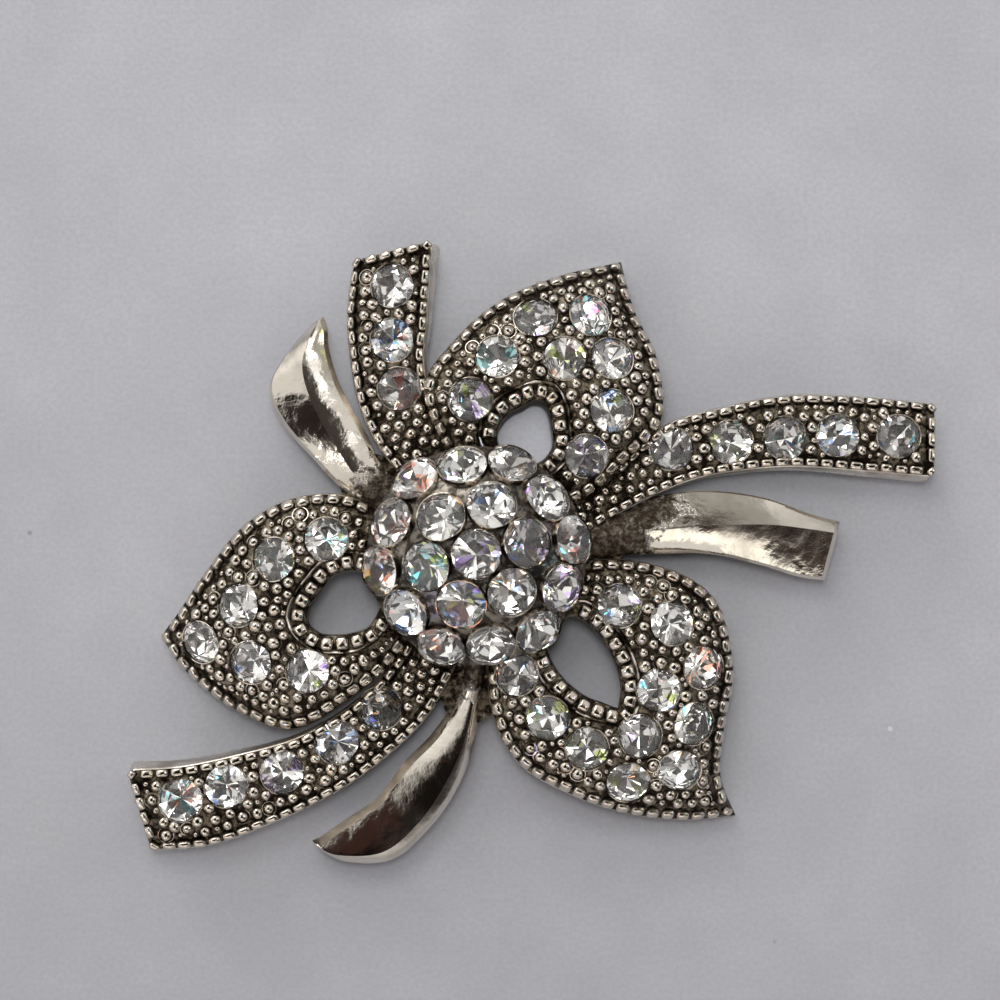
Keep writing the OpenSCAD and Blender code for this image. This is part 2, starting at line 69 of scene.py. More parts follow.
dome_low, dome_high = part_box("stone_dome")
HUB = Vector(((dome_low.x + dome_high.x) / 2, (dome_low.y + dome_high.y) / 2, 0))
HUB_TOP = dome_low.z / MM

# Sizes of the casting, as in the part's source
CAST_WALL = 2.0
PLAIN_WALL = 1.6
HOLE_HEIGHT = 6.4
EDGE_HEIGHT = 5.5
TIP_HEIGHT = 2.05
DROOP_START = 0.4
ARCH = {"petal": 0.13, "ribbon": 0.03}
RIBBON_HEIGHTS = (5.5, 4.3)
PLAIN_HEIGHTS = (5.2, 4.2)
CREASE_RISE = 0.7
HUB_RADIUS = 6.3
HUB_BOTTOM = 2.85
HUB_CHAMFER = 0.1
# Webs from the hub to the arms: radius of their outer ends, its steps, and how much thinner each web
# is than the one before it on either side, so that no two faces lie in one plane
WEB_END = 2.0
WEB_SIDES = 24
WEB_STEP = 0.02
# Gap between pieces
PIECE_GAP = 0.1
# Height of a stone's girdle, and the share of the stone's radius beyond which a corner is on it
GIRDLE_HEIGHT = 0.16
GIRDLE_REACH = 0.98
# A pit's flat bottom as a share of its radius, its cutter's height above the girdle, and its sides
PIT_BOTTOM = 0.2
PIT_TOP = 2
PIT_SIDES = 28

Arm = namedtuple("Arm", "name kind angle length width rise rows bevels", defaults=[(0, 0, 0)])

# Petals go round their hole from the tip, by the left side, the hub and the right side, to the tip.
# Rows: outer edge along, outer edge to the left, hole edge along, hole edge to the left, where along
# is a share of the length and to the left is a share of the width.
TOP_ROWS = [
    (1.00, 0.00, 0.50, 0.05),
    (0.88, 0.21, 0.49, 0.08),
    (0.73, 0.40, 0.46, 0.11),
    (0.55, 0.51, 0.42, 0.15),
    (0.37, 0.53, 0.36, 0.16),
    (0.21, 0.26, 0.31, 0.11),
    (0.16, -0.03, 0.29, 0.03),
    (0.28, -0.30, 0.33, -0.07),
    (0.45, -0.41, 0.39, -0.09),
    (0.61, -0.47, 0.44, -0.05),
    (0.77, -0.34, 0.48, -0.01),
    (0.88, -0.15, 0.50, 0.03),
    (1.00, 0.00, 0.50, 0.05),
]
LEFT_ROWS = [
    (1.00, 0.00, 0.54, 0.12),
    (0.95, 0.18, 0.53, 0.14),
    (0.83, 0.40, 0.51, 0.17),
    (0.67, 0.55, 0.47, 0.19),
    (0.49, 0.49, 0.42, 0.20),
    (0.30, 0.35, 0.36, 0.19),
    (0.17, 0.13, 0.31, 0.10),
    (0.18, -0.17, 0.31, -0.01),
    (0.32, -0.39, 0.37, -0.07),
    (0.49, -0.45, 0.43, -0.07),
    (0.66, -0.39, 0.47, -0.03),
    (0.82, -0.22, 0.52, 0.03),
    (0.93, -0.08, 0.54, 0.08),
    (1.00, 0.00, 0.54, 0.12),
]
RIGHT_ROWS = [
    (1.00, 0.00, 0.56, -0.03),
    (0.89, 0.07, 0.55, -0.01),
    (0.80, 0.22, 0.53, 0.03),
    (0.70, 0.41, 0.49, 0.07),
    (0.54, 0.54, 0.44, 0.10),
    (0.38, 0.49, 0.37, 0.12),
    (0.23, 0.32, 0.31, 0.11),
    (0.15, 0.07, 0.27, 0.06),
    (0.18, -0.18, 0.28, -0.02),
    (0.31, -0.38, 0.33, -0.08),
    (0.47, -0.46, 0.40, -0.10),
    (0.64, -0.40, 0.47, -0.09),
    (0.79, -0.29, 0.52, -0.06),
    (0.91, -0.15, 0.55, -0.04),
    (1.00, 0.00, 0.56, -0.03),
]

# Ribbons go out from the hub. Rows: along and bend to the left as shares of the length, width as a
# share of the width, and turn, how far the section leans forwards on the left, in degrees. Plain
# ribbons have one more column, the crease's share of the way from the left edge to the right.
RIBBON_TOP_ROWS = [
    (0.22, 0.02, 0.63, 0),
    (0.41, 0.07, 0.80, -2),
    (0.58, 0.08, 0.87, -8),
    (0.73, 0.04, 0.98, -2),
    (0.85, 0.00, 1.00, 5),
    (0.98, -0.06, 0.96, 7),
]
RIBBON_RIGHT_ROWS = [
    (0.17, 0.01, 0.51, -10),
    (0.32, 0.05, 0.53, -18),
    (0.45, 0.09, 0.76, -8),
    (0.56, 0.09, 0.82, 4),
    (0.70, 0.07, 0.91, 11),
    (0.85, 0.02, 0.95, 16),
    (0.98, -0.03, 0.93, 18),
]
RIBBON_LEFT_ROWS = [
    (0.16, 0.09, 0.67, 0),
    (0.30, 0.15, 0.73, 0),
    (0.44, 0.17, 0.74, 6),
    (0.58, 0.16, 0.79, 6),
    (0.72, 0.12, 0.90, 11),
    (0.85, 0.07, 1.00, 14),
    (0.96, 0.00, 0.99, 22),
]
PLAIN_TOP_ROWS = [
    (0.25, 0.07, 0.50, 0, 0.50),
    (0.44, 0.14, 0.67, 9, 0.40),
    (0.62, 0.14, 0.86, 7, 0.45),
    (0.78, 0.13, 1.00, 5, 0.52),
    (0.90, 0.09, 1.04, 5, 0.56),
    (0.96, 0.02, 0.81, 3, 0.60),
    (1.00, -0.07, 0.19, 6, 0.60),
]
PLAIN_RIGHT_ROWS = [
    (0.20, 0.02, 0.57, 0, 0.50),
    (0.36, 0.05, 0.70, 0, 0.55),
    (0.52, 0.07, 0.89, 0, 0.60),
    (0.65, 0.07, 0.96, 0, 0.55),
    (0.79, 0.04, 1.04, 0, 0.40),
    (0.90, 0.00, 0.97, 10, 0.25),
    (0.98, -0.02, 0.91, 17, 0.20),
]
PLAIN_LOW_ROWS = [
    (0.22, 0.10, 0.36, 0, 0.30),
    (0.39, 0.15, 0.34, 0, 0.30),
    (0.54, 0.16, 0.60, 4, 0.25),
    (0.67, 0.14, 0.82, 11, 0.22),
    (0.80, 0.11, 0.82, 14, 0.20),
    (0.91, 0.05, 0.83, 20, 0.20),
    (0.98, -0.04, 0.45, 27, 0.25),
    (0.99, -0.09, 0.15, 23, 0.30),
]

# Bevels are the widths of a plain ribbon's left, right and end bevels
PETALS = [
    Arm("petal_top", "petal", 64, 23.2, 15.8, 0, TOP_ROWS),
    Arm("petal_left", "petal", 194, 23.0, 15.6, 0, LEFT_ROWS),
    Arm("petal_right", "petal", -45, 25.7, 17.7, 0, RIGHT_ROWS),
]
RIBBONS = [
    Arm("ribbon_top", "ribbon", 109, 22.4, 6.0, 1.7, RIBBON_TOP_ROWS),
    Arm("ribbon_right", "ribbon", 16, 33.4, 5.6, 0.9, RIBBON_RIGHT_ROWS),
    Arm("ribbon_left", "ribbon", 217, 30.4, 6.0, 1.6, RIBBON_LEFT_ROWS),
]
PLAINS = [
    Arm("plain_top", "plain", 128, 19.8, 4.8, 0, PLAIN_TOP_ROWS, (0.25, 0.35, 0.1)),
    Arm("plain_right", "plain", 2, 25.2, 4.6, 0, PLAIN_RIGHT_ROWS, (0.12, 0.2, 0.45)),
    Arm("plain_low", "plain", 246, 23.0, 5.0, 0, PLAIN_LOW_ROWS, (0.3, 0.55, 0.1)),
]

# Steps between two rows of a table: of a skin, of a path of beads and of the grains' places
ROW_STEPS = 8
PATH_STEPS = 24
GRAIN_STEPS = 28
# Steps across a band's field, a plain facet, and the faces that heights are found on
FIELD_STEPS = 9
FACET_STEPS = 6
TREE_STEPS = 12
# A distance from a ribbon's end that stands for far from it
FAR = 99
# A plain ribbon's extra rise at its root, and the swell of its left and right facets
ROOT_RISE = {"plain_top": 0.5, "plain_right": 0.5, "plain_low": 1.3}
SWELL = (0.02, 0.06)
# Shares of a plain ribbon's way over which the root's rise ends and the swell fades at the tip
ROOT_SHARE = 0.45
FADE_SHARE = 0.35
# Drops of a plain ribbon's side bevels and of its end bevel, as shares of their widths
BEVEL_DROP = 0.75
TIP_DROP = 0.8
# A stone-set band's edge: distance from the outline and lift off the face. It falls away to the
# outline, with a groove that the beads stand in, and round a hole a fine wire follows the groove
RIM_PROFILE = [(0.00, -0.36), (0.04, -0.24), (0.12, -0.17), (0.40, -0.14), (0.78, -0.12), (0.92, 0.00)]
HOLE_PROFILE = [
    (0.00, -0.42), (0.04, -0.28), (0.14, -0.20), (0.60, -0.16), (1.00, -0.14), (1.04, -0.02),
    (1.09, 0.05), (1.15, 0.08), (1.21, 0.05), (1.26, -0.02), (1.30, -0.12), (1.42, 0.00),
]
# Width of the bright lip at a ribbon's end
LIP = 0.04
# Where the wire begins and ends, its dark patches' waves a millimetre, and the noise below which
# it is dark
WIRE = (1.00, 1.30)
WIRE_PATCH = 0.75
WIRE_WORN = -0.02
# Greatest share of a band's width that one of its edges takes
EDGE_SHARE = 0.32
# A ribbon's rounded corners, and the distances from its end at which they need a section
CORNER_RADIUS = 0.9
END_STATIONS = [0.6, 0.7, 0.85, 1.5]

# Share of its inset at which a moved outline's point is kept
INSET_KEPT = 0.985
# Beads of the rims: distance of a row from the outline, pitch, the share of it that a bead fills,
# width, height and lean to the left of the row's way in degrees, which is towards the outline
BEADS = {
    "petal": (0.49, 1.07, 0.90, 0.84, 0.32, -13),
    "hole": (0.56, 1.04, 0.88, 1.00, 0.42, 12),
    "ribbon": (0.39, 1.05, 0.90, 0.58, 0.27, 17),
}
# Least and greatest share of its length, width and height that a bead has
BEAD_VARIES = [(0.93, 1.03), (0.92, 1.05), (0.88, 1.10)]
BEAD_SIDES = 16
BEAD_RINGS = 5
# Powers of cosine and sine that square off a bead's outline, and that shape its dome
BEAD_SQUARED = 0.52
BEAD_DOME = (0.7, 0.95)
# Grains of the field: radii, spacing, and clearance from the stones and from the rim's beads
GRAIN_KINDS = [(0.40, 0.82, 0.44, 0.42), (0.29, 0.62, 0.34, 0.30), (0.19, 0.44, 0.26, 0.22)]
# Room that a grain takes as a share of its radius, and how its size and its length vary
GRAIN_ROOM = 2.16
GRAIN_VARIES = (0.88, 1.1)
GRAIN_STRETCH = (0.9, 1.15)
# A grain's foot, its height as a share of its radius, the angles up its dome that have a corner, and
# the tones of its profile's corners, dark at the foot for oxide and for painted shade, bright on top
GRAIN_FOOT = -0.15
GRAIN_RISE = 0.92
GRAIN_ANGLES = (0.35, 0.7, 1.05, 1.32)
GRAIN_OXIDE_AND_SHADE_TONES = [0, 0, 0.15, 0.35, 0.6, 0.85, 1, 1]
# Distance between two places across a band that are tried for a grain, and the share of the way to
# the next row by which one is moved
TRY_GAP = 0.15
TRY_SHIFT = 0.02
# Clearance of the grains from a hole's wire
WIRE_CLEAR = 0.04
# Share of the largest grains that have a ring round them, its distance and its wire's radius
RINGED = 0.4
RING_GAP = 0.13
RING_GAUGE = 0.045
# Distance of a stone's seat from the stone, its height and its wire's radius
SEAT_GAP = 0.06
SEAT_HEIGHT = 0.06
SEAT_GAUGE = 0.05
# A casting's unevenness as waves a millimetre, and how far it moves the points of beads and grains
UNEVEN_PATCH = 2.3
BEAD_UNEVEN = 0.035
GRAIN_UNEVEN = 0.05
# A turned wire's tone: its middle and range, and its patches' waves a millimetre and shares
WORN_TONE = (0.38, 1.1)
WORN_PATCHES = [(0.9, 1), (3.1, 0.35)]
# Height above a bead or a grain at which another arm's face covers it
BEAD_COVER = 0.1
GRAIN_COVER = 0.05
# Section of the cup round a stone of the cluster: distance outside the stone, and height
CUP_PROFILE = [(0.08, -0.5), (0.08, 0.03), (0.06, 0.07), (0.03, 0.07), (0.01, 0.04), (0.01, -0.5)]
# The outermost stones of the cluster hide what is nearer to the hub's axis
DOME_CLEAR = 7.7
# Facets whose normal's cosine with the stone's axis is under this are its foiled back
FOILED = -0.3
# How much the foiled facets lean, and how near two normals are that count as one facet's
FACET_LEAN = 0.58
FACET_SNAP = 0.02

random.seed(7)
noise.seed_set(7)


def row_at(rows, place):
    """The row of a table at a place between its rows, on a smooth curve through them."""
    last = len(rows) - 1
    i = min(int(place), last - 1)
    t = place - i
    columns = zip(rows[max(i - 1, 0)], rows[i], rows[i + 1], rows[min(i + 2, last)])
    return [
        (2 * b + (c - a) * t + (2 * a - 5 * b + 4 * c - d) * t ** 2 + (3 * b - a - 3 * c + d) * t ** 3) / 2
        for a, b, c, d in columns
    ]


def turned(point, degrees):
    return Matrix.Rotation(math.radians(degrees), 3, "Z") @ point


def petal_edge_height(share):
    droop = max(0, share - DROOP_START) / (1 - DROOP_START)
    return EDGE_HEIGHT - (EDGE_HEIGHT - TIP_HEIGHT) * droop ** 2


def arm_edges(arm, place):
    """The two top edges of an arm's band at a place in its table, left and right of its way."""
    row = row_at(arm.rows, place)
    if arm.kind == "petal":
        left = Vector((row[2] * arm.length, row[3] * arm.width, HOLE_HEIGHT))
        right = Vector((row[0] * arm.length, row[1] * arm.width, petal_edge_height(row[0])))
    else:
        root, end = RIBBON_HEIGHTS if arm.kind == "ribbon" else PLAIN_HEIGHTS
        progress = (row[0] - arm.rows[0][0]) / (arm.rows[-1][0] - arm.rows[0][0])
        height = root + (end - root) * progress
        middle = Vector((row[0], row[1], 0)) * arm.length
        turn = math.radians(row[3])
        half = Vector((math.sin(turn), math.cos(turn), 0)) * row[2] * arm.width / 2
        left = middle + half + Vector((0, 0, height))
        right = middle - half + Vector((0, 0, height + arm.rise * progress ** 2))
    return turned(left, arm.angle), turned(right, arm.angle)


def section_point(edges, distance, lift):
    """A point of a section: a distance from its left edge and a lift off the line between its edges."""
    across = (edges[1] - edges[0]).normalized()
    up = (Vector((0, 0, 1)) - across * across.z).normalized()
    return edges[0] + across * distance + up * lift


def face_lift(arm, place, share, width):
    """Lift of the middle of an arm's face: an arch, or the two facets of a plain ribbon."""
    if arm.kind != "plain":
        return ARCH[arm.kind] * width * 4 * share * (1 - share)
    crease = row_at(arm.rows, place)[4]
    rise = CREASE_RISE * min(1, width / arm.width)
    return rise * (share / crease if share < crease else (1 - share) / (1 - crease))


def band_at(arm, place):
    """An arm's two top edges at a place in its table, and the distance between them."""
    edges = arm_edges(arm, place)
    return edges, (edges[1] - edges[0]).length


def face_point(arm, place, share):
    edges, width = band_at(arm, place)
    return section_point(edges, width * share, face_lift(arm, place, share, width))


def last_place(arm):
    return len(arm.rows) - 1


def table_places(arm, steps):
    """Places along an arm's table from its first row to its last, some steps from row to row."""
    return [i / steps for i in range(last_place(arm) * steps + 1)]


def face_tree(arm):
    """The arm's face without its relief, for finding heights and directions on it."""
    shares = [i / TREE_STEPS for i in range(TREE_STEPS + 1)]
    places = table_places(arm, ROW_STEPS)
    points = [face_point(arm, place, share) for place in places for share in shares]
    faces = []
    for i in range(len(places) - 1):
        for j in range(len(shares) - 1):
            a = i * len(shares) + j
            b = a + len(shares)
            faces.append((a, b, b + 1, a + 1))
    return BVHTree.FromPolygons(points, faces)


def drop_on(tree, point):
    """Where a line straight down through a point meets a face, and the face's direction there."""
    hit, normal, _, _ = tree.ray_cast(Vector((point.x, point.y, 50)), Vector((0, 0, -1)))
    if hit is None:
        return None, None
    return hit, normal if normal.z > 0 else -normal


class Shape:
    """Points in millimetres about the hub's axis, with a tone from 0 (dark) to 1 (worn bright), and
    faces, each with the number of its material. On beads and grains the dark tone at the foot is
    painted shade as well as oxide."""

    def __init__(self):
        self.points = []
        self.tones = []
        self.faces = []
        self.looks = []

    def add(self, points, faces, tones=None, look=0):
        first = len(self.points)
        self.points += points
        self.tones += tones or [1.0] * len(points)
        self.faces += [tuple(first + i for i in face) for face in faces]
        self.looks += [look] * len(faces)

    def mesh(self, name, materials, unit=MM, origin=HUB):
        mesh = bpy.data.meshes.new(name)
        for material in materials:
            mesh.materials.append(material)
        mesh.from_pydata([origin + p * unit for p in self.points], [], self.faces)
        mesh.polygons.foreach_set("material_index", self.looks)
        tone = mesh.attributes.new("tone", "FLOAT", "POINT")
        tone.data.foreach_set("value", self.tones)
        mesh.update()
        return mesh


def placed(name, data):
    """A new object in the scene."""
    obj = bpy.data.objects.new(name, data)
    bpy.context.scene.collection.objects.link(obj)
    return obj


def piece(name, mesh, slot, *replaced, smooth=40):
    """Puts a mesh in the scene as a piece of the brooch."""
    obj = placed(name, mesh)
    mesh.polygons.foreach_set("use_smooth", [True] * len(mesh.polygons))
    mesh.set_sharp_from_angle(angle=math.radians(smooth))
    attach(obj, "root")
    if replaced:
        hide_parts(*replaced)
    return obj


def ring_faces(rings, loop=False):
    """Faces from ring to ring of point numbers. A ring may be one point again and again."""
    faces = []
    nexts = rings[1:] + rings[:1] if loop else rings[1:]
    for low, high in zip(rings, nexts):
        for i in range(len(low)):
            j = (i + 1) % len(low)
            faces.append(tuple(dict.fromkeys((low[i], low[j], high[j], high[i]))))
    return faces


def grid_faces(rows, columns, ring):
    """Faces of a closed skin over rows of points that each go round, with caps unless it is a ring."""
    rings = [range(i * columns, (i + 1) * columns) for i in range(rows)]
    caps = [] if ring else [tuple(reversed(rings[0])), tuple(rings[-1])]
    return ring_faces(rings, ring) + caps


def edge_lift(profile, distance):
    """Lift of an edge's relief at a distance from the outline."""
    for (d0, lift0), (d1, lift1) in zip(profile, profile[1:]):
        if distance <= d1:
            return lift0 + (lift1 - lift0) * (distance - d0) / (d1 - d0)
    return 0


def end_row_length(arm):
    return (arm.rows[-1][0] - arm.rows[-2][0]) * arm.length


def close_stations(arm, near):
    """Places along a ribbon's table as far as the first of some distances from its end, then those."""
    ends = [(last_place(arm) - d / end_row_length(arm), d) for d in near]
    return [(place, FAR) for place in table_places(arm, ROW_STEPS) if place < ends[0][0]] + ends


def end_places(arm):
    """Places along an arm's table, with closer steps at a ribbon's end, and their distances from it."""
    if arm.kind == "petal":
        return [(place, FAR) for place in table_places(arm, ROW_STEPS)[:-1]]
    near = sorted([d for d, _ in RIM_PROFILE] + END_STATIONS, reverse=True)
    return close_stations(arm, near)


def corner_inset(distance):
    """How far a ribbon's rounded corners draw its sides in, at a distance from its end."""
    if distance >= CORNER_RADIUS:
        return 0
    return CORNER_RADIUS - math.sqrt(CORNER_RADIUS ** 2 - (CORNER_RADIUS - distance) ** 2)


def left_profile(arm):
    return HOLE_PROFILE if arm.kind == "petal" else RIM_PROFILE


def band_points(arm, place, end):
    """One closed section of a stone-set band, from its left edge over the top and back below."""
    edges, width = band_at(arm, place)
    inset = corner_inset(end)
    sides = []
    for profile in (left_profile(arm), RIM_PROFILE):
        scale = min(1, width * EDGE_SHARE / profile[-1][0])
        sides.append([(inset + d * scale, lift) for d, lift in profile])
    first = sides[0][-1][0]
    span = width - sides[1][-1][0] - first
    field = [(first + span * i / FIELD_STEPS, 0) for i in range(1, FIELD_STEPS)]
    stations = sides[0] + field + [(width - d, lift) for d, lift in reversed(sides[1])]
    points = []
    for d, lift in stations:
        if end < RIM_PROFILE[-1][0]:
            lift = min(lift, edge_lift(RIM_PROFILE, end))
        points.append(section_point(edges, d, lift + face_lift(arm, place, d / width, width)))
    for share in (1, 0.75, 0.5, 0.25, 0):
        d = inset + (width - 2 * inset) * share
        below = section_point(edges, d, face_lift(arm, place, d / width, width) - CAST_WALL)
        if share == 0 and arm.kind == "petal":
            below = edges[0] - Vector((0, 0, CAST_WALL))
        points.append(below)
    return points


def stones_of(node):
    """The stones of a node: middle of the girdle's top edge, direction, radius, and depth below it."""
    obj = frame["nodes"][node]
    mesh = obj.data
    points = [(obj.matrix_world @ v.co - HUB) / MM for v in mesh.vertices]
    first = {}
    leader = [first.setdefault(tuple(round(c, 3) for c in p), i) for i, p in enumerate(points)]

    def root(i):
        while leader[i] != i:
            i = leader[i]
        return i

    for a, b in mesh.edge_keys:
        leader[root(a)] = root(b)
    groups = {}
    for face in mesh.polygons:
        groups.setdefault(root(face.vertices[0]), []).append(face)
    stones = []
    for faces in groups.values():
        flats = {}
        for face in faces:
            key = tuple(round(c, 1) for c in face.normal)
            flats.setdefault(key, []).append(face)
        table = max(flats.values(), key=lambda group: sum(face.area for face in group))
        direction = table[0].normal.copy()
        corners = {i for face in faces for i in face.vertices}
        heights = {i: points[i].dot(direction) for i in corners}
        culet = points[min(heights, key=heights.get)]
        reach = {}
        for i in corners:
            offset = points[i] - culet
            reach[i] = (offset - direction * offset.dot(direction)).length
        radius = max(reach.values())
        on_girdle = [heights[i] for i in corners if reach[i] > radius * GIRDLE_REACH]
        girdle = max(on_girdle) - culet.dot(direction)
        stones.append((culet + direction * girdle, direction, radius, girdle))
    return stones


def frame_at(point, along, up):
    """A matrix with its x along a path and its z up off a face, at a point."""
    side = up.cross(along).normalized()
    along = side.cross(up)
    return Matrix.Translation(point) @ Matrix((along, side, up)).transposed().to_4x4()


def stone_frame(middle, direction):
    return frame_at(middle, direction.orthogonal().normalized(), direction)


def revolved(shape, place, profile, sides, look=0, tones=None):
    """Adds a closed solid turned from a profile of (radius, height) about a matrix's z axis. The
    profile starts and ends on the axis, or is a loop that stays clear of it."""
    points = []
    marks = []
    rings = []
    for k, (radius, height) in enumerate(profile):
        tone = tones[k] if tones else 1.0
        if radius == 0:
            rings.append([len(points)] * sides)
            points.append(place @ Vector((0, 0, height)))
            marks.append(tone)
            continue
        rings.append(list(range(len(points), len(points) + sides)))
        for i in range(sides):
            angle = math.tau * i / sides
            points.append(place @ Vector((radius * math.cos(angle), radius * math.sin(angle), height)))
            marks.append(tone)
    shape.add(points, ring_faces(rings, loop=profile[0][0] > 0), marks, look)


def pits(stones):
    """Cutters for the stones' pits."""
    shape = Shape()
    for middle, direction, radius, girdle in stones:
        wide = radius + PIECE_GAP
        deep = -girdle - PIECE_GAP
        revolved(shape, stone_frame(middle, direction), [
            (0, deep), (wide * PIT_BOTTOM, deep), (wide, -GIRDLE_HEIGHT), (wide, PIT_TOP), (0, PIT_TOP),
        ], PIT_SIDES, look=1)
    return shape


def cut(shape, cutter, name, materials):
    """The mesh of a shape with a cutter's shape taken away."""
    body = placed(name, shape.mesh(name, materials, 1, Vector()))
    tool = placed(name + "_cutter", cutter.mesh(name + "_cutter", materials, 1, Vector()))
    modifier = body.modifiers.new("pits", "BOOLEAN")
    modifier.operation = "DIFFERENCE"
    modifier.solver = "MANIFOLD"
    modifier.object = tool
    graph = bpy.context.evaluated_depsgraph_get()
    mesh = bpy.data.meshes.new_from_object(body.evaluated_get(graph))
    mesh.transform(Matrix.Translation(HUB) @ Matrix.Scale(MM, 4))
    bpy.data.objects.remove(body)
    bpy.data.objects.remove(tool)
    return mesh


def make_band(arm, stones, materials):
    """A stone-set arm's casting: walls and wires in one material, recesses in the other."""
    stations = end_places(arm)
    shape = Shape()
    rows = [band_points(arm, place, end) for place, end in stations]
    columns = len(rows[0])
    ring = arm.kind == "petal"
    points = [p for row in rows for p in row]
    faces = grid_faces(len(rows), columns, ring)
    shape.add(points, faces)
    profile = left_profile(arm)
    top = len(profile) + FIELD_STEPS - 1 + len(RIM_PROFILE)
    # Recesses are all columns of the top but the lips at its two edges, and a petal's inner wall
    first = 1 if ring else 2
    wire = [j for j, (d, _) in enumerate(profile) if WIRE[0] <= d < WIRE[1]] if ring else []
    dark = [j for j in range(first, top - 3) if j not in wire]
    if ring:
        dark.append(columns - 1)
    spans = len(rows) if ring else len(rows) - 1
    for i in range(spans):
        if stations[i][1] > LIP:
            worn = [j for j in wire if noise.noise(points[i * columns + j] * WIRE_PATCH) < WIRE_WORN]
            for j in dark + worn:
                shape.looks[i * columns + j] = 1
    return cut(shape, pits(stones), arm.name, materials)


def plan_tree(points):
    """Points in plan, for finding how near another point is to them."""
    tree = KDTree(len(points))
    for i, p in enumerate(points):
        tree.insert((p.x, p.y, 0), i)
    tree.balance()
    return tree


def inset_path(outline, distance):
    """An outline in plan moved to its left by a distance, without what comes too near it again."""
    tree = plan_tree(outline)
    path = []
    count = len(outline)
    for i, p in enumerate(outline):
        a = outline[(i - 1) % count]
        b = outline[(i + 1) % count]
        along = Vector((b.x - a.x, b.y - a.y, 0)).normalized()
        moved = Vector((p.x - along.y * distance, p.y + along.x * distance, 0))
        if tree.find(moved)[2] > abs(distance) * INSET_KEPT:
            path.append(moved)
    return path


def resampled(path, pitch):
    """Points about a pitch apart along a path, with one at each end."""
    lengths = [0]
    for a, b in zip(path, path[1:]):
        lengths.append(lengths[-1] + (b - a).length)
    count = max(1, round(lengths[-1] / pitch))
    result = []
    k = 0
    for n in range(count + 1):
        target = lengths[-1] * n / count
        while k < len(path) - 2 and lengths[k + 1] < target:
            k += 1
        span = lengths[k + 1] - lengths[k]
        t = (target - lengths[k]) / span if span > 0 else 0
        result.append(path[k].lerp(path[k + 1], t))
    return result


def bead_paths(arm):
    """Plan paths of an arm's bead rows: a list of (kind, points, closed)."""
    dense = table_places(arm, PATH_STEPS)[:-1]
    if arm.kind == "petal":
        rows = []
        for kind, edge, way in (("petal", 1, 1), ("hole", 0, -1)):
            inset, pitch = BEADS[kind][:2]
            path = inset_path([arm_edges(arm, p)[edge] for p in dense], inset * way)
            rows.append((kind, resampled(path + [path[0]], pitch)[:-1], True))
        return rows
    inset, pitch = BEADS["ribbon"][:2]
    stop = last_place(arm) - inset / end_row_length(arm)
    places = [p for p in dense if p < stop] + [stop]
    left = []
    right = []
    for p in places:
        edges, width = band_at(arm, p)
        left.append(section_point(edges, inset, 0).xy.to_3d())
        right.append(section_point(edges, width - inset, 0).xy.to_3d())
    side = resampled(left, pitch)
    end = resampled([left[-1], right[-1]], pitch)
    back = resampled(right[::-1], pitch)
    return [("ribbon", side + end[1:-1] + back, False)]


def covered(arm, point, margin):
    """Whether the dome or another arm lies over a point."""
    if math.hypot(point.x, point.y) < DOME_CLEAR:
        return True
    for other, tree in TREES.items():
        if other != arm.name:
            hit, _ = drop_on(tree, point)
            if hit is not None and hit.z > point.z + margin:
                return True
    return False


def squared(value):
    """A cosine or sine drawn towards 1 or -1, which turns a circle into a rounded square."""
    return math.copysign(abs(value) ** BEAD_SQUARED, value)


def add_pillow(shape, place, size):
    """Adds a cushion-shaped bead: a rounded rectangle that rises to a round top."""
    length, width, height = size
    # Levels: share of the rectangle, height and tone; the tone is dark at the foot for oxide and for
    # painted shade, and rises to the top
    levels = [(1.0, -0.25, 0.0), (1.0, -0.05, 0.12)]
    inwards, upwards = BEAD_DOME
    for k in range(1, BEAD_RINGS):
        share = k / BEAD_RINGS
        angle = math.radians(90) * share
        rise = height * math.sin(angle) ** upwards
        levels.append((math.cos(angle) ** inwards, rise, 0.25 + 0.75 * share))
    points = []
    tones = []
    for scale, z, tone in levels:
        for i in range(BEAD_SIDES):
            angle = math.tau * (i + 0.5) / BEAD_SIDES
            x = squared(math.cos(angle)) * length / 2 * scale
            y = squared(math.sin(angle)) * width / 2 * scale
            points.append(Vector((x, y, z)))
            tones.append(tone)
    points.append(Vector((0, 0, height)))
    tones.append(1.0)
    rings = [range(k * BEAD_SIDES, (k + 1) * BEAD_SIDES) for k in range(len(levels))]
    faces = [tuple(reversed(rings[0]))] + ring_faces(rings + [[len(points) - 1] * BEAD_SIDES])
    shape.add([uneven(place @ p, BEAD_UNEVEN) for p in points], faces, tones)


def uneven(point, amount):
    """A point moved a little, for the look of a casting."""
    return point + noise.noise_vector(point * UNEVEN_PATCH) * amount


def make_beads(arm):
    """The rows of beads along an arm's rims."""
    shape = Shape()
    for kind, points, closed in bead_paths(arm):
        _, _, filled, across, height, lean = BEADS[kind]
        count = len(points)
        for i, p in enumerate(points):
            a = points[(i - 1) % count] if closed or i > 0 else p
            b = points[(i + 1) % count] if closed or i < count - 1 else p
            hit, normal = drop_on(TREES[arm.name], p)
            if hit is None or covered(arm, hit, BEAD_COVER):
                continue
            pitch = (b - a).length / (2 if a != p and b != p else 1)
            sizes = (pitch * filled, across, height)
            size = [s * random.uniform(*varies) for s, varies in zip(sizes, BEAD_VARIES)]
            along = (b - a).normalized()
            up = Matrix.Rotation(math.radians(-lean), 3, along) @ normal
            add_pillow(shape, frame_at(hit, along, up), size)
    return shape


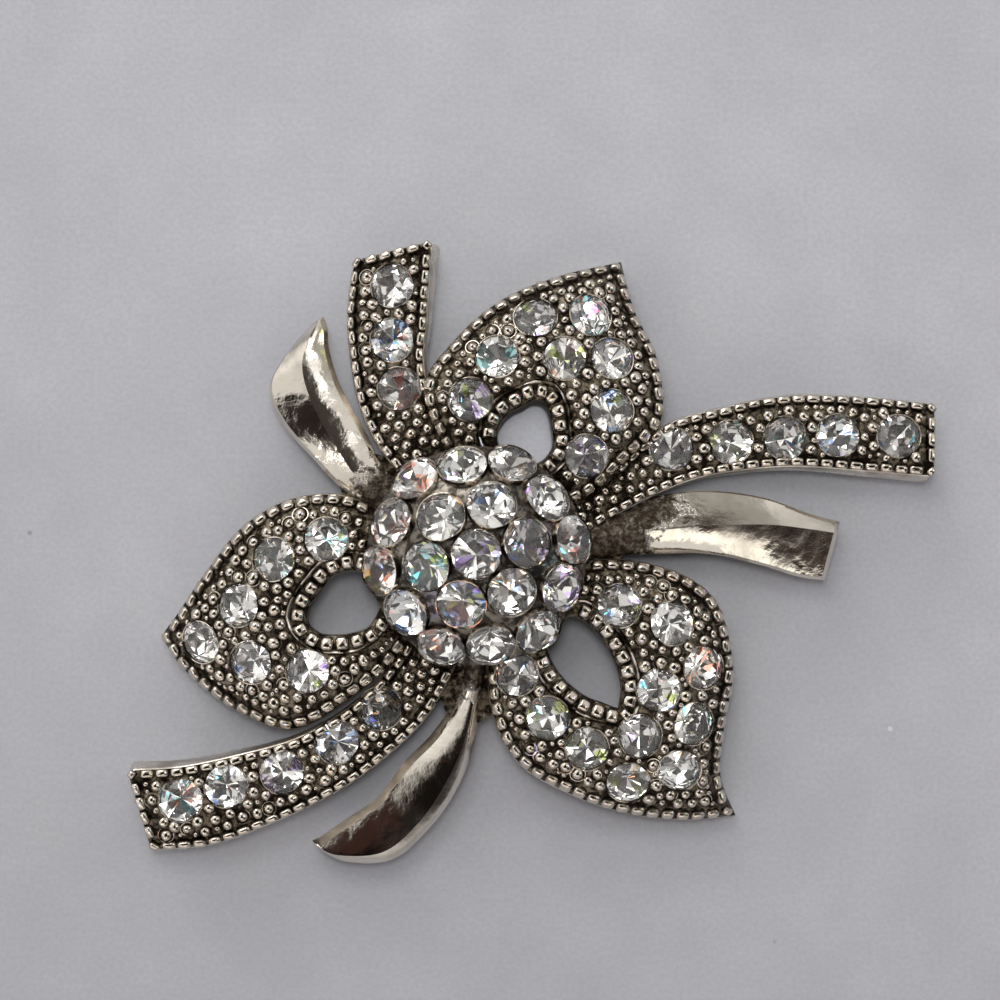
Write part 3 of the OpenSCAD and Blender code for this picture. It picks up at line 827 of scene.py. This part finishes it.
def rim_trees(arm):
    """Points of an arm's outlines in plan, each with how far its relief reaches from it."""
    edges = [arm_edges(arm, place) for place in table_places(arm, PATH_STEPS)]
    left = [e[0] for e in edges]
    right = [e[1] for e in edges]
    if arm.kind == "petal":
        outlines = [(left, WIRE[1] + WIRE_CLEAR), (right, BEADS["petal"][0] + BEADS["petal"][3] / 2)]
    else:
        end = [left[-1].lerp(right[-1], k / PATH_STEPS) for k in range(PATH_STEPS + 1)]
        outlines = [(left + end + right, BEADS["ribbon"][0] + BEADS["ribbon"][3] / 2)]
    return [(plan_tree(points), reach) for points, reach in outlines]


def grain_places(arm, stones):
    """Places for grains: close round the stones first, then over what is left of the field."""
    trees = rim_trees(arm)
    candidates = []
    for place in table_places(arm, GRAIN_STEPS)[:-1]:
        width = band_at(arm, place)[1]
        for j in range(int(width / TRY_GAP)):
            share = (j + random.random()) * TRY_GAP / width
            moved = place + random.uniform(-TRY_SHIFT, TRY_SHIFT) if place > 0 else place
            point = face_point(arm, moved, min(share, 1))
            gap = min((point - s[0]).length - s[2] for s in stones)
            edge = min(tree.find((point.x, point.y, 0))[2] - reach for tree, reach in trees)
            candidates.append((gap, edge, point))
    candidates.sort(key=lambda c: c[0])
    taken = []
    for radius, spacing, stone_clear, edge_clear in GRAIN_KINDS:
        for gap, edge, point in candidates:
            if gap < stone_clear or edge < edge_clear:
                continue
            if any((point - q).length < (spacing + r * GRAIN_ROOM) / 2 for q, r in taken):
                continue
            taken.append((point, radius))
    return taken


def make_grains(arm, stones):
    """The grains between the stones, and the fine ring that each stone sits in."""
    shape = Shape()
    for point, radius in grain_places(arm, stones):
        hit, normal = drop_on(TREES[arm.name], point)
        if hit is None or covered(arm, hit, GRAIN_COVER):
            continue
        size = radius * random.uniform(*GRAIN_VARIES)
        rise = size * GRAIN_RISE
        profile = [(0, GRAIN_FOOT), (size, GRAIN_FOOT), (size, 0.0)]
        profile += [(size * math.cos(a), rise * math.sin(a)) for a in GRAIN_ANGLES]
        profile.append((0, rise))
        along = turned(normal.orthogonal(), random.uniform(0, 360))
        place = frame_at(hit, along, normal)
        stretch = Matrix.Diagonal((random.uniform(*GRAIN_STRETCH), 1, 1, 1))
        first = len(shape.points)
        revolved(shape, place @ stretch, profile, 12, tones=GRAIN_OXIDE_AND_SHADE_TONES)
        for i in range(first, len(shape.points)):
            shape.points[i] = uneven(shape.points[i], GRAIN_UNEVEN)
        if radius == GRAIN_KINDS[0][0] and random.random() < RINGED:
            add_worn(shape, place, wire_profile(size + RING_GAP, 0, RING_GAUGE, 6), 20)
    for middle, direction, radius, _ in stones:
        wire = wire_profile(radius + SEAT_GAP, SEAT_HEIGHT, SEAT_GAUGE, 8)
        add_worn(shape, stone_frame(middle, direction), wire, 36)
    return shape


def wire_profile(radius, height, gauge, sides):
    """The round section of a wire ring, as a profile to turn."""
    turns = [math.tau * k / sides for k in range(sides)]
    return [(radius + gauge * math.cos(a), height + gauge * math.sin(a)) for a in turns]


def add_worn(shape, place, profile, sides):
    """Adds a turned solid with a tone that comes and goes along it."""
    middle, spread = WORN_TONE
    first = len(shape.points)
    revolved(shape, place, profile, sides)
    for i in range(first, len(shape.points)):
        patch = sum(share * noise.noise(shape.points[i] * waves) for waves, share in WORN_PATCHES)
        shape.tones[i] = min(1, max(0, middle + spread * patch))


def plain_points(arm, place, end):
    """One closed section of a plain ribbon: bevels along its edges and two facets that swell a
    little and meet at the crease."""
    edges, width = band_at(arm, place)
    ridge = row_at(arm.rows, place)[4] * width
    progress = place / last_place(arm)
    raised = 1 + ROOT_RISE[arm.name] * max(0, 1 - progress / ROOT_SHARE)
    fade = min(1, (1 - progress) / FADE_SHARE)
    left, right, tip = arm.bevels
    left = min(left, ridge / 2)
    right = min(right, (width - ridge) / 2)
    drop = -TIP_DROP * tip * max(0, 1 - end / tip)
    points = [section_point(edges, 0, -BEVEL_DROP * left + drop)]
    for first, start, stop, swell in ((0, left, ridge, SWELL[0]), (1, ridge, width - right, SWELL[1])):
        for k in range(first, FACET_STEPS + 1):
            t = k / FACET_STEPS
            d = start + (stop - start) * t
            lift = face_lift(arm, place, d / width, width) * raised + swell * fade * 4 * t * (1 - t)
            points.append(section_point(edges, d, lift + drop))
    points.append(section_point(edges, width, -BEVEL_DROP * right + drop))
    points.append(section_point(edges, width, -PLAIN_WALL))
    points.append(section_point(edges, 0, -PLAIN_WALL))
    return points


def make_plain(arm):
    """A plain ribbon's casting."""
    tip = arm.bevels[2]
    rows = [plain_points(arm, place, end) for place, end in close_stations(arm, [tip, tip / 2, 0])]
    shape = Shape()
    shape.add([p for row in rows for p in row], grid_faces(len(rows), len(rows[0]), False))
    return shape


def hull_mesh(shape, points):
    """Adds the convex solid round some points."""
    work = bmesh.new()
    verts = [work.verts.new(p) for p in points]
    bmesh.ops.convex_hull(work, input=verts)
    for v in [v for v in work.verts if not v.link_faces]:
        work.verts.remove(v)
    work.verts.index_update()
    shape.add([v.co.copy() for v in work.verts], [tuple(v.index for v in f.verts) for f in work.faces],
              look=1)
    work.free()


def make_hub():
    """The hub under the dome, and the webs between the arms."""
    shape = Shape()
    face = HUB_RADIUS - HUB_CHAMFER
    top = HUB_TOP - PIECE_GAP
    revolved(shape, Matrix.Identity(4), [
        (0, HUB_BOTTOM), (face, HUB_BOTTOM), (HUB_RADIUS, HUB_BOTTOM + HUB_CHAMFER),
        (HUB_RADIUS, top - 1.5 * HUB_CHAMFER), (face, top), (0, top),
    ], 64, look=1)
    for order, arm in enumerate(RIBBONS + PLAINS):
        left, right = arm_edges(arm, 1)
        outer = (left + right) / 2
        inset = WEB_STEP * (order + 1)
        points = []
        for z in (HUB_BOTTOM + inset, HUB_BOTTOM + CAST_WALL - inset):
            for i in range(WEB_SIDES):
                angle = math.tau * i / WEB_SIDES
                turn = Vector((math.cos(angle), math.sin(angle), 0))
                points.append(turn * (HUB_RADIUS - WEB_END / 2) + Vector((0, 0, z)))
                points.append(Vector((outer.x, outer.y, z)) + turn * WEB_END)
        hull_mesh(shape, points)
    return shape


def make_cups(stones):
    """The thin cups round the cluster's stones."""
    shape = Shape()
    for middle, direction, radius, _ in stones:
        profile = [(radius + d, height) for d, height in CUP_PROFILE]
        add_worn(shape, stone_frame(middle, direction), profile, 36)
    return shape


class Graph:
    """A material's or world's nodes, emptied first."""

    def __init__(self, owner):
        owner.use_nodes = True
        self.tree = owner.node_tree
        self.tree.nodes.clear()

    def node(self, kind, values=None, **settings):
        made = self.tree.nodes.new(kind)
        for name, value in settings.items():
            setattr(made, name, value)
        for name, value in (values or {}).items():
            self.put(made.inputs[name], value)
        return made

    def put(self, socket, value):
        if isinstance(value, bpy.types.NodeSocket):
            self.tree.links.new(value, socket)
        else:
            socket.default_value = value

    def noise(self, vector, scale, detail=3.0, rough=0.55):
        made = self.node("ShaderNodeTexNoise", {"Scale": scale, "Detail": detail, "Roughness": rough})
        self.put(made.inputs["Vector"], vector)
        return made.outputs["Fac"]

    def spread(self, value, low, high, to_low=0.0, to_high=1.0, smooth=False):
        made = self.node("ShaderNodeMapRange", {
            "Value": value, "From Min": low, "From Max": high, "To Min": to_low, "To Max": to_high})
        if smooth:
            made.interpolation_type = "SMOOTHSTEP"
        return made.outputs["Result"]

    def math(self, operation, a, b):
        made = self.node("ShaderNodeMath", operation=operation)
        self.put(made.inputs[0], a)
        self.put(made.inputs[1], b)
        return made.outputs[0]

    def plus(self, a, b):
        return self.math("ADD", a, b)

    def times(self, a, b):
        return self.math("MULTIPLY", a, b)

    def vector(self, operation, a, b=(0, 0, 0)):
        made = self.node("ShaderNodeVectorMath", operation=operation)
        self.put(made.inputs[0], a)
        self.put(made.inputs[1], b)
        return made.outputs["Value" if operation in ("DISTANCE", "DOT_PRODUCT") else "Vector"]

    def mix(self, factor, a, b):
        made = self.node("ShaderNodeMix", data_type="RGBA")
        self.put(made.inputs[0], factor)
        self.put(made.inputs[6], a)
        self.put(made.inputs[7], b)
        return made.outputs[2]

    def bump(self, height, strength, distance):
        made = self.node("ShaderNodeBump", {"Strength": strength, "Distance": distance, "Height": height})
        return made.outputs["Normal"]

    def surface(self, values):
        shader = self.node("ShaderNodeBsdfPrincipled", values)
        out = self.node("ShaderNodeOutputMaterial")
        self.tree.links.new(shader.outputs["BSDF"], out.inputs["Surface"])

    def metal(self, colour, rough, relief):
        """A metal's surface, with its relief as height, strength and distance."""
        self.surface({"Base Color": colour, "Metallic": 1.0, "Roughness": rough,
                      "Normal": self.bump(*relief)})


def rgb(r, g, b):
    return (r, g, b, 1.0)


SILVER = rgb(0.75, 0.70, 0.63)
BRIGHT_SILVER = rgb(0.76, 0.70, 0.62)
WARM_SILVER = rgb(0.54, 0.475, 0.39)
OXIDE = rgb(0.045, 0.034, 0.025)
DEEP_OXIDE = rgb(0.018, 0.013, 0.009)


def begun(name):
    """A new material, its nodes, and the place of a point in them."""
    material = bpy.data.materials.new(name)
    graph = Graph(material)
    return material, graph, graph.node("ShaderNodeTexCoord").outputs["Object"]


def relief_silver():
    """Beads and grains: worn bright on top, and dark low down with oxide and with painted shade."""
    material, g, where = begun("relief_silver")
    tone = g.node("ShaderNodeAttribute", attribute_name="tone").outputs["Fac"]
    blotch = g.noise(where, 900.0)
    grain = g.noise(where, 5200.0, 4.0)
    # worn is the tone plus blotches: real wear and oxide, and painted shade at the feet of beads and
    # grains
    worn = g.plus(tone, g.spread(blotch, 0.35, 0.65, -0.25, 0.2))
    bright = g.mix(g.spread(grain, 0.3, 0.7), WARM_SILVER, BRIGHT_SILVER)
    colour = g.mix(g.spread(worn, 0.1, 0.55, smooth=True), OXIDE, bright)
    rough = g.plus(g.spread(worn, 0.1, 0.7, 0.42, 0.13), g.spread(grain, 0.3, 0.7, -0.03, 0.06))
    height = g.plus(g.times(grain, 0.35), g.noise(where, 2100.0, 2.0))
    g.metal(colour, rough, (height, 0.35, 0.00004))
    return material


def wall_silver():
    """Walls, lips and the back: cast silver, soft-polished, with a little tarnish."""
    material, g, where = begun("wall_silver")
    blotch = g.noise(where, 420.0, 5.0)
    grain = g.noise(where, 3800.0, 4.0)
    colour = g.mix(g.spread(blotch, 0.38, 0.68, smooth=True), SILVER, rgb(0.42, 0.375, 0.32))
    rough = g.plus(g.spread(blotch, 0.35, 0.7, 0.24, 0.42), g.spread(grain, 0.3, 0.7, -0.04, 0.06))
    g.metal(colour, rough, (grain, 0.25, 0.00003))
    return material


def recess_silver():
    """The field behind the grains, the grooves and the pits: dark with oxide."""
    material, g, where = begun("recess_silver")
    blotch = g.noise(where, 1300.0, 5.0)
    grain = g.noise(where, 4300.0, 5.0, 0.65)
    pebble = g.noise(where, 3300.0, 2.0)
    worn = g.plus(blotch, g.times(pebble, 0.5))
    colour = g.mix(g.spread(worn, 0.66, 0.95, smooth=True), DEEP_OXIDE, rgb(0.25, 0.212, 0.155))
    height = g.plus(g.times(pebble, 1.5), g.times(grain, 0.6))
    g.metal(colour, g.spread(grain, 0.3, 0.7, 0.24, 0.5), (height, 0.9, 0.00010))
    return material


def polished_silver():
    """Plain ribbons: polished, slightly wavy, with a dark rough root beside the hub."""
    material, g, where = begun("polished_silver")
    reach = g.vector("DISTANCE", g.vector("MULTIPLY", where, (1, 1, 0)), HUB)
    ragged = g.noise(where, 1500.0, 5.0, 0.7)
    edge = g.plus(reach, g.spread(ragged, 0.3, 0.7, -0.0012, 0.0012))
    split = g.node("ShaderNodeSeparateXYZ", {"Vector": where})
    rightwards = g.spread(split.outputs["X"], HUB.x + 0.005, HUB.x + 0.009)
    upwards = g.spread(split.outputs["Y"], HUB.y + 0.0016, HUB.y + 0.0030, 0.0024, 0.0050)
    edge = g.math("SUBTRACT", edge, g.times(rightwards, upwards))
    clean = g.spread(edge, 0.0088, 0.0100, smooth=True)
    wave = g.noise(where, 330.0, 2.0)
    dent = g.noise(where, 1250.0, 3.0)
    stain = g.noise(where, 240.0, 4.0)
    silver = g.mix(g.spread(stain, 0.42, 0.66, smooth=True), SILVER, rgb(0.60, 0.555, 0.495))
    scratch = g.noise(where, 2400.0, 4.0, 0.6)
    root = g.mix(g.spread(scratch, 0.42, 0.70, smooth=True), OXIDE, rgb(0.20, 0.175, 0.14))
    colour = g.mix(clean, root, silver)
    rough = g.plus(g.spread(clean, 0.0, 1.0, 0.34, 0.07), g.spread(stain, 0.45, 0.7, 0.0, 0.16))
    height = g.plus(g.times(wave, 3.2), g.times(dent, 0.7))
    rugged = g.times(g.math("SUBTRACT", 1.0, clean), g.times(scratch, 5.0))
    g.metal(colour, rough, (g.plus(height, rugged), 0.5, 0.00006))
    return material


def dome_silver():
    """The cluster's dome between the cups: mottled silver, painted dark as the shade deep in the gaps
    between the stones.
    """
    material, g, where = begun("dome_silver")
    blotch = g.noise(where, 1600.0, 4.0)
    colour = g.mix(g.spread(blotch, 0.4, 0.62, smooth=True), rgb(0.045, 0.038, 0.032),
                   rgb(0.19, 0.172, 0.148))
    g.metal(colour, g.spread(blotch, 0.3, 0.7, 0.35, 0.2), (blotch, 0.9, 0.00010))
    return material


def pin_steel():
    """The pin behind: plain steel, brushed along its length."""
    material, g, where = begun("pin_steel")
    along = g.node("ShaderNodeMapping", {"Vector": where, "Rotation": (0, 0, math.radians(-109)),
                                         "Scale": (0.08, 1, 1)})
    streak = g.noise(along.outputs["Vector"], 5200.0, 3.0)
    blotch = g.noise(where, 260.0, 4.0)
    colour = g.mix(g.spread(blotch, 0.4, 0.7), rgb(0.62, 0.61, 0.60), rgb(0.47, 0.455, 0.44))
    g.metal(colour, g.spread(streak, 0.3, 0.7, 0.22, 0.4), (streak, 0.2, 0.00002))
    return material


def crystal():
    """A stone's crown: clear glass with faint wear."""
    material, g, where = begun("clear_crystal")
    smear = g.noise(where, 1400.0, 2.0)
    colour = g.mix(g.spread(smear, 0.3, 0.7), rgb(1.0, 1.0, 1.0), rgb(0.98, 0.985, 0.99))
    g.surface({"Base Color": colour, "Roughness": g.spread(smear, 0.4, 0.7, 0.0, 0.025), "IOR": 1.53,
               "Transmission Weight": 1.0})
    return material


def foil(name, light, dark):
    """A stone's foiled back: each facet leans a little its own way, and on some, coloured fire, the
    colours of dispersed light, is painted into the foil.
    """
    material, g, where = begun(name)
    geometry = g.node("ShaderNodeNewGeometry")
    facet = g.vector("SNAP", geometry.outputs["True Normal"], [FACET_SNAP] * 3)
    lot = g.node("ShaderNodeTexWhiteNoise", {"Vector": facet}).outputs["Color"]
    pick = g.node("ShaderNodeSeparateColor", {"Color": lot})
    painted_fire_hue = g.node("ShaderNodeValToRGB", {"Fac": pick.outputs["Red"]})
    ramp = painted_fire_hue.color_ramp
    ramp.interpolation = "CONSTANT"
    stops = [
        (0.0, rgb(0.35, 0.55, 1.0)), (0.22, rgb(1.0, 0.62, 0.25)), (0.4, rgb(0.72, 0.55, 1.0)),
        (0.55, rgb(0.45, 0.95, 1.0)), (0.7, rgb(0.85, 1.0, 0.35)), (0.85, rgb(1.0, 0.45, 0.35)),
    ]
    ramp.elements[0].color = stops[0][1]
    ramp.elements[1].position, ramp.elements[1].color = stops[1]
    for position, shade in stops[2:]:
        ramp.elements.new(position).color = shade
    # Painted fire, the colours of dispersed light, comes in small patches of a facet
    patch = g.noise(where, 900.0, 1.0)
    painted_fire = g.times(g.spread(pick.outputs["Green"], 0.62, 0.66), g.spread(patch, 0.56, 0.62))
    shade = g.mix(pick.outputs["Blue"], light, dark)
    colour = g.mix(g.times(painted_fire, 0.9), shade, painted_fire_hue.outputs["Color"])
    lean = g.vector("MULTIPLY", g.vector("SUBTRACT", lot, (0.5, 0.5, 0.5)), [FACET_LEAN] * 3)
    normal = g.vector("NORMALIZE", g.vector("ADD", lean, geometry.outputs["Normal"]))
    g.surface({"Base Color": colour, "Metallic": 0.88, "Roughness": 0.03, "Normal": normal})
    return material


def floor_board():
    """The pale surface under the brooch: matte, faintly mottled, with painted shade that darkens it
    towards the bottom and the right.
    """
    material, g, where = begun("floor_board")
    mottle = g.noise(where, 60.0, 3.0)
    fine = g.noise(where, 900.0, 2.0)
    split = g.node("ShaderNodeSeparateXYZ", {"Vector": where})
    cloud = g.noise(where, 190.0, 2.0)
    base = g.mix(g.spread(mottle, 0.3, 0.7), rgb(0.342, 0.347, 0.372), rgb(0.304, 0.309, 0.331))
    base = g.mix(g.spread(cloud, 0.3, 0.7, 0.0, 0.5), base, rgb(0.283, 0.284, 0.308))
    # Painted shade: the floor darkens towards the bottom and the right
    rightwards = g.times(g.math("MAXIMUM", split.outputs["X"], 0.0), 0.8)
    painted_shade_falloff = g.spread(g.plus(split.outputs["Y"], rightwards), -0.030, 0.030, 0.14, 0.0)
    base = g.mix(painted_shade_falloff, base, rgb(0.05, 0.05, 0.05))
    speckle = g.noise(where, 3000.0, 2.0)
    base = g.mix(g.spread(speckle, 0.3, 0.7, 0.0, 0.26), base, rgb(0.17, 0.17, 0.18))
    cells = g.node("ShaderNodeTexVoronoi", {"Vector": where, "Scale": 170.0})
    pick = g.node("ShaderNodeSeparateColor", {"Color": cells.outputs["Color"]})
    dot = g.spread(cells.outputs["Distance"], 0.035, 0.018)
    dark = g.times(dot, g.spread(pick.outputs["Red"], 0.78, 0.98, 0.0, 0.5))
    light = g.times(dot, g.spread(pick.outputs["Green"], 0.6, 0.9, 0.0, 0.4))
    base = g.mix(light, base, rgb(0.62, 0.61, 0.58))
    base = g.mix(dark, base, rgb(0.06, 0.055, 0.05))
    g.surface({"Base Color": base, "Roughness": g.spread(fine, 0.3, 0.7, 0.5, 0.62),
               "Normal": g.bump(fine, 0.08, 0.00004)})
    return material


def dress(obj, *materials):
    """Gives an object some materials in place of its own."""
    obj.data.materials.clear()
    for material in materials:
        obj.data.materials.append(material)


def dress_stones(obj, crown, back):
    """Gives each stone's crown and girdle the clear material, and its lower facets the foil."""
    dress(obj, crown, back)
    stones = stones_of(obj["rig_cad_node"])
    for face in obj.data.polygons:
        middle = (obj.matrix_world @ face.center - HUB) / MM
        stone = min(stones, key=lambda s: (s[0] - middle).length)
        face.material_index = 1 if face.normal.dot(stone[1]) < FOILED else 0
        face.use_smooth = False


def toward(zenith, turn):
    """A direction by its degrees off the zenith and its degrees round from the right."""
    low = math.sin(math.radians(zenith))
    turn = math.radians(turn)
    return Vector((low * math.cos(turn), low * math.sin(turn), math.cos(math.radians(zenith))))


def make_world():
    """A soft studio round a dark middle, where the camera and its holder are: mid grey, with a broad
    window on the upper left, lamps, and dark things on the left and on the lower right."""
    world = bpy.data.worlds.new("studio")
    bpy.context.scene.world = world
    g = Graph(world)
    way = g.node("ShaderNodeTexCoord").outputs["Generated"]
    split = g.node("ShaderNodeSeparateXYZ", {"Vector": way})
    colour = g.mix(g.spread(split.outputs["Z"], 0.0, 0.5, smooth=True), rgb(0.42, 0.418, 0.42),
                   rgb(0.86, 0.84, 0.81))
    # Lobes: degrees off the zenith, degrees round from the right, inner and outer radius, colour
    lobes = [
        (55, 118, 12, 38, (1.45, 1.42, 1.36)),
        (39, 80, 8, 19, (0.46, 0.45, 0.42)),
        (42, 20, 8, 17, (0.42, 0.41, 0.39)),
        (58, -28, 12, 34, (0.045, 0.04, 0.04)),
        (0, 0, 23, 34, (0.035, 0.029, 0.025)),
        (0, 0, 20, 26, (0.008, 0.007, 0.006)),
        (28, 57, 6, 10, (0.06, 0.052, 0.045)),
        (28, 97, 5, 11, (0.07, 0.06, 0.05)),
        (33, -164, 6, 12, (0.022, 0.016, 0.014)),
        (20, 152, 3, 8, (0.045, 0.022, 0.018)),
        (24, -66, 2, 6, (0.040, 0.021, 0.016)),
        (62, 112, 8, 19, (4.4, 4.3, 4.2)),
        (37, -76, 5, 10, (1.7, 1.64, 1.48)),
        (34.5, 36, 3, 7, (1.7, 1.7, 1.7)),
        (48, -120, 3, 7, (4.0, 3.8, 3.5)),
        (52, 12, 3, 7, (4.0, 3.8, 3.5)),
        (70, 175, 6, 14, (1.8, 1.75, 1.65)),
        (47, -109, 1, 4, (10.0, 2.6, 0.9)),
        (56, -127, 1, 4, (1.2, 2.2, 12.0)),
        (58, 4, 1, 4, (0.8, 6.0, 8.0)),
        (50, 22, 1, 4, (5.0, 6.0, 0.8)),
        (60, 21, 1, 4, (5.0, 1.5, 10.0)),
    ]
    for zenith, turn, inner, outer, shade in lobes:
        dot = g.vector("DOT_PRODUCT", way, toward(zenith, turn))
        near = g.spread(dot, math.cos(math.radians(outer)), math.cos(math.radians(inner)), smooth=True)
        colour = g.mix(near, colour, rgb(*shade))
    back = g.node("ShaderNodeBackground", {"Color": colour, "Strength": 1.0})
    out = g.node("ShaderNodeOutputWorld")
    g.tree.links.new(back.outputs["Background"], out.inputs["Surface"])


def add_light(name, place, target, size, power, colour):
    """Adds a round area lamp that faces a target."""
    data = bpy.data.lights.new(name, "AREA")
    data.shape = "DISK"
    data.size = size
    data.energy = power
    data.color = colour
    lamp = placed(name, data)
    lamp.location = place
    lamp.rotation_euler = (Vector(place) - target).to_track_quat("Z", "Y").to_euler()
    return lamp


def make_studio():
    """Floor, lights and camera."""
    mesh = bpy.data.meshes.new("floor")
    half = 0.6
    mesh.from_pydata([(-half, -half, 0), (half, -half, 0), (half, half, 0), (-half, half, 0)], [],
                     [(0, 1, 2, 3)])
    mesh.materials.append(floor_board())
    floor = placed("floor", mesh)

    # Lamps: name, place, size, power, colour, and whether metal and stones mirror it
    middle = Vector((0, 0, 0.005))
    white = (1.0, 0.99, 0.98)
    lamps = [
        ("key", (-0.024, 0.066, 0.22), 0.09, 0.21, white, False),
        ("overhead", (-0.005, 0.02, 0.30), 0.04, 0.38, white, False),
        ("glint_left", (-0.30, -0.08, 0.30), 0.02, 0.035, (1.0, 0.98, 0.95), True),
        ("glint_right", (0.22, 0.10, 0.36), 0.02, 0.03, (1.0, 0.96, 0.9), True),
        ("glint_back", (-0.05, 0.34, 0.26), 0.02, 0.03, (0.97, 0.98, 1.0), True),
    ]
    for name, place, size, power, colour, mirrored in lamps:
        lamp = add_light(name, place, middle, size, power, colour)
        lamp.visible_glossy = mirrored
        lamp.visible_transmission = mirrored

    # Lamps that only the stones mirror: degrees off the zenith and degrees round from the right
    for k, aim in enumerate([(36, -48), (46, -95), (50, -150), (40, 155), (44, 70), (48, 25)]):
        lamp = add_light(f"stone_lamp_{k + 1}", middle + toward(*aim) * 0.3, middle, 0.07, 0.055, white)
        lamp.visible_glossy = False
        lamp.visible_diffuse = False

    # A narrow lamp on the surface that shows through the top petal's hole
    data = bpy.data.lights.new("hole_spot", "SPOT")
    data.energy = 3.3
    data.spot_size = math.radians(1.6)
    data.spot_blend = 0.6
    data.shadow_soft_size = 0.004
    spot = placed("hole_spot", data)
    spot.location = (0.0, 0.0084, 0.30)
    spot.visible_glossy = False
    spot.visible_transmission = False

    target = Vector((-2.21, 3.58, 5.0)) * MM
    distance = 0.215
    lean = math.radians(2)
    data = bpy.data.cameras.new("camera")
    data.sensor_width = 36
    data.lens = 111.84
    data.clip_start = 0.01
    camera = placed("camera", data)
    camera.location = target + distance * Vector((0, -math.sin(lean), math.cos(lean)))
    camera.rotation_euler = (lean, 0, 0)
    bpy.context.scene.camera = camera
    bpy.context.scene.view_settings.view_transform = "Standard"


TREES = {arm.name: face_tree(arm) for arm in PETALS + RIBBONS + PLAINS}
relief = relief_silver()
wall = wall_silver()
recess = recess_silver()
polished = polished_silver()
clear = crystal()
# The cluster's foil is a darker copy of the arms' foil: painted shade that offsets the stone lamps' light
# on the cluster
arm_foil = foil("arm_foil", rgb(0.99, 0.985, 0.975), rgb(0.88, 0.87, 0.86))
cluster_foil = foil("cluster_foil", rgb(0.94, 0.935, 0.925), rgb(0.76, 0.75, 0.74))

for arm in PETALS + RIBBONS:
    stones = stones_of(arm.name + "_stones")
    piece(arm.name + "_cast", make_band(arm, stones, [wall, recess]), "antiqued_silver", "casting")
    beads = make_beads(arm).mesh(arm.name + "_beads", [relief])
    piece(arm.name + "_beads", beads, "antiqued_silver", "casting", smooth=60)
    grains = make_grains(arm, stones).mesh(arm.name + "_grains", [relief])
    piece(arm.name + "_grains", grains, "antiqued_silver", "casting", smooth=60)
for arm in PLAINS:
    ribbon = make_plain(arm).mesh(arm.name + "_ribbon", [polished])
    piece(arm.name + "_ribbon", ribbon, "antiqued_silver", "casting", smooth=24)
piece("hub_cast", make_hub().mesh("hub_cast", [wall, recess]), "antiqued_silver", "casting", smooth=30)

cluster = [name for name in frame["nodes"] if name.startswith("cluster")]
cups = make_cups([stones_of(name)[0] for name in sorted(cluster)])
piece("cluster_cups", cups.mesh("cluster_cups", [relief]), "dark_silver")

for name, obj in frame["nodes"].items():
    if name.startswith("cluster"):
        dress_stones(obj, clear, cluster_foil)
    elif name.endswith("_stones"):
        dress_stones(obj, clear, arm_foil)
dress(frame["nodes"]["stone_dome"], dome_silver())
dress(frame["nodes"]["pin_back"], pin_steel())

make_world()
make_studio()
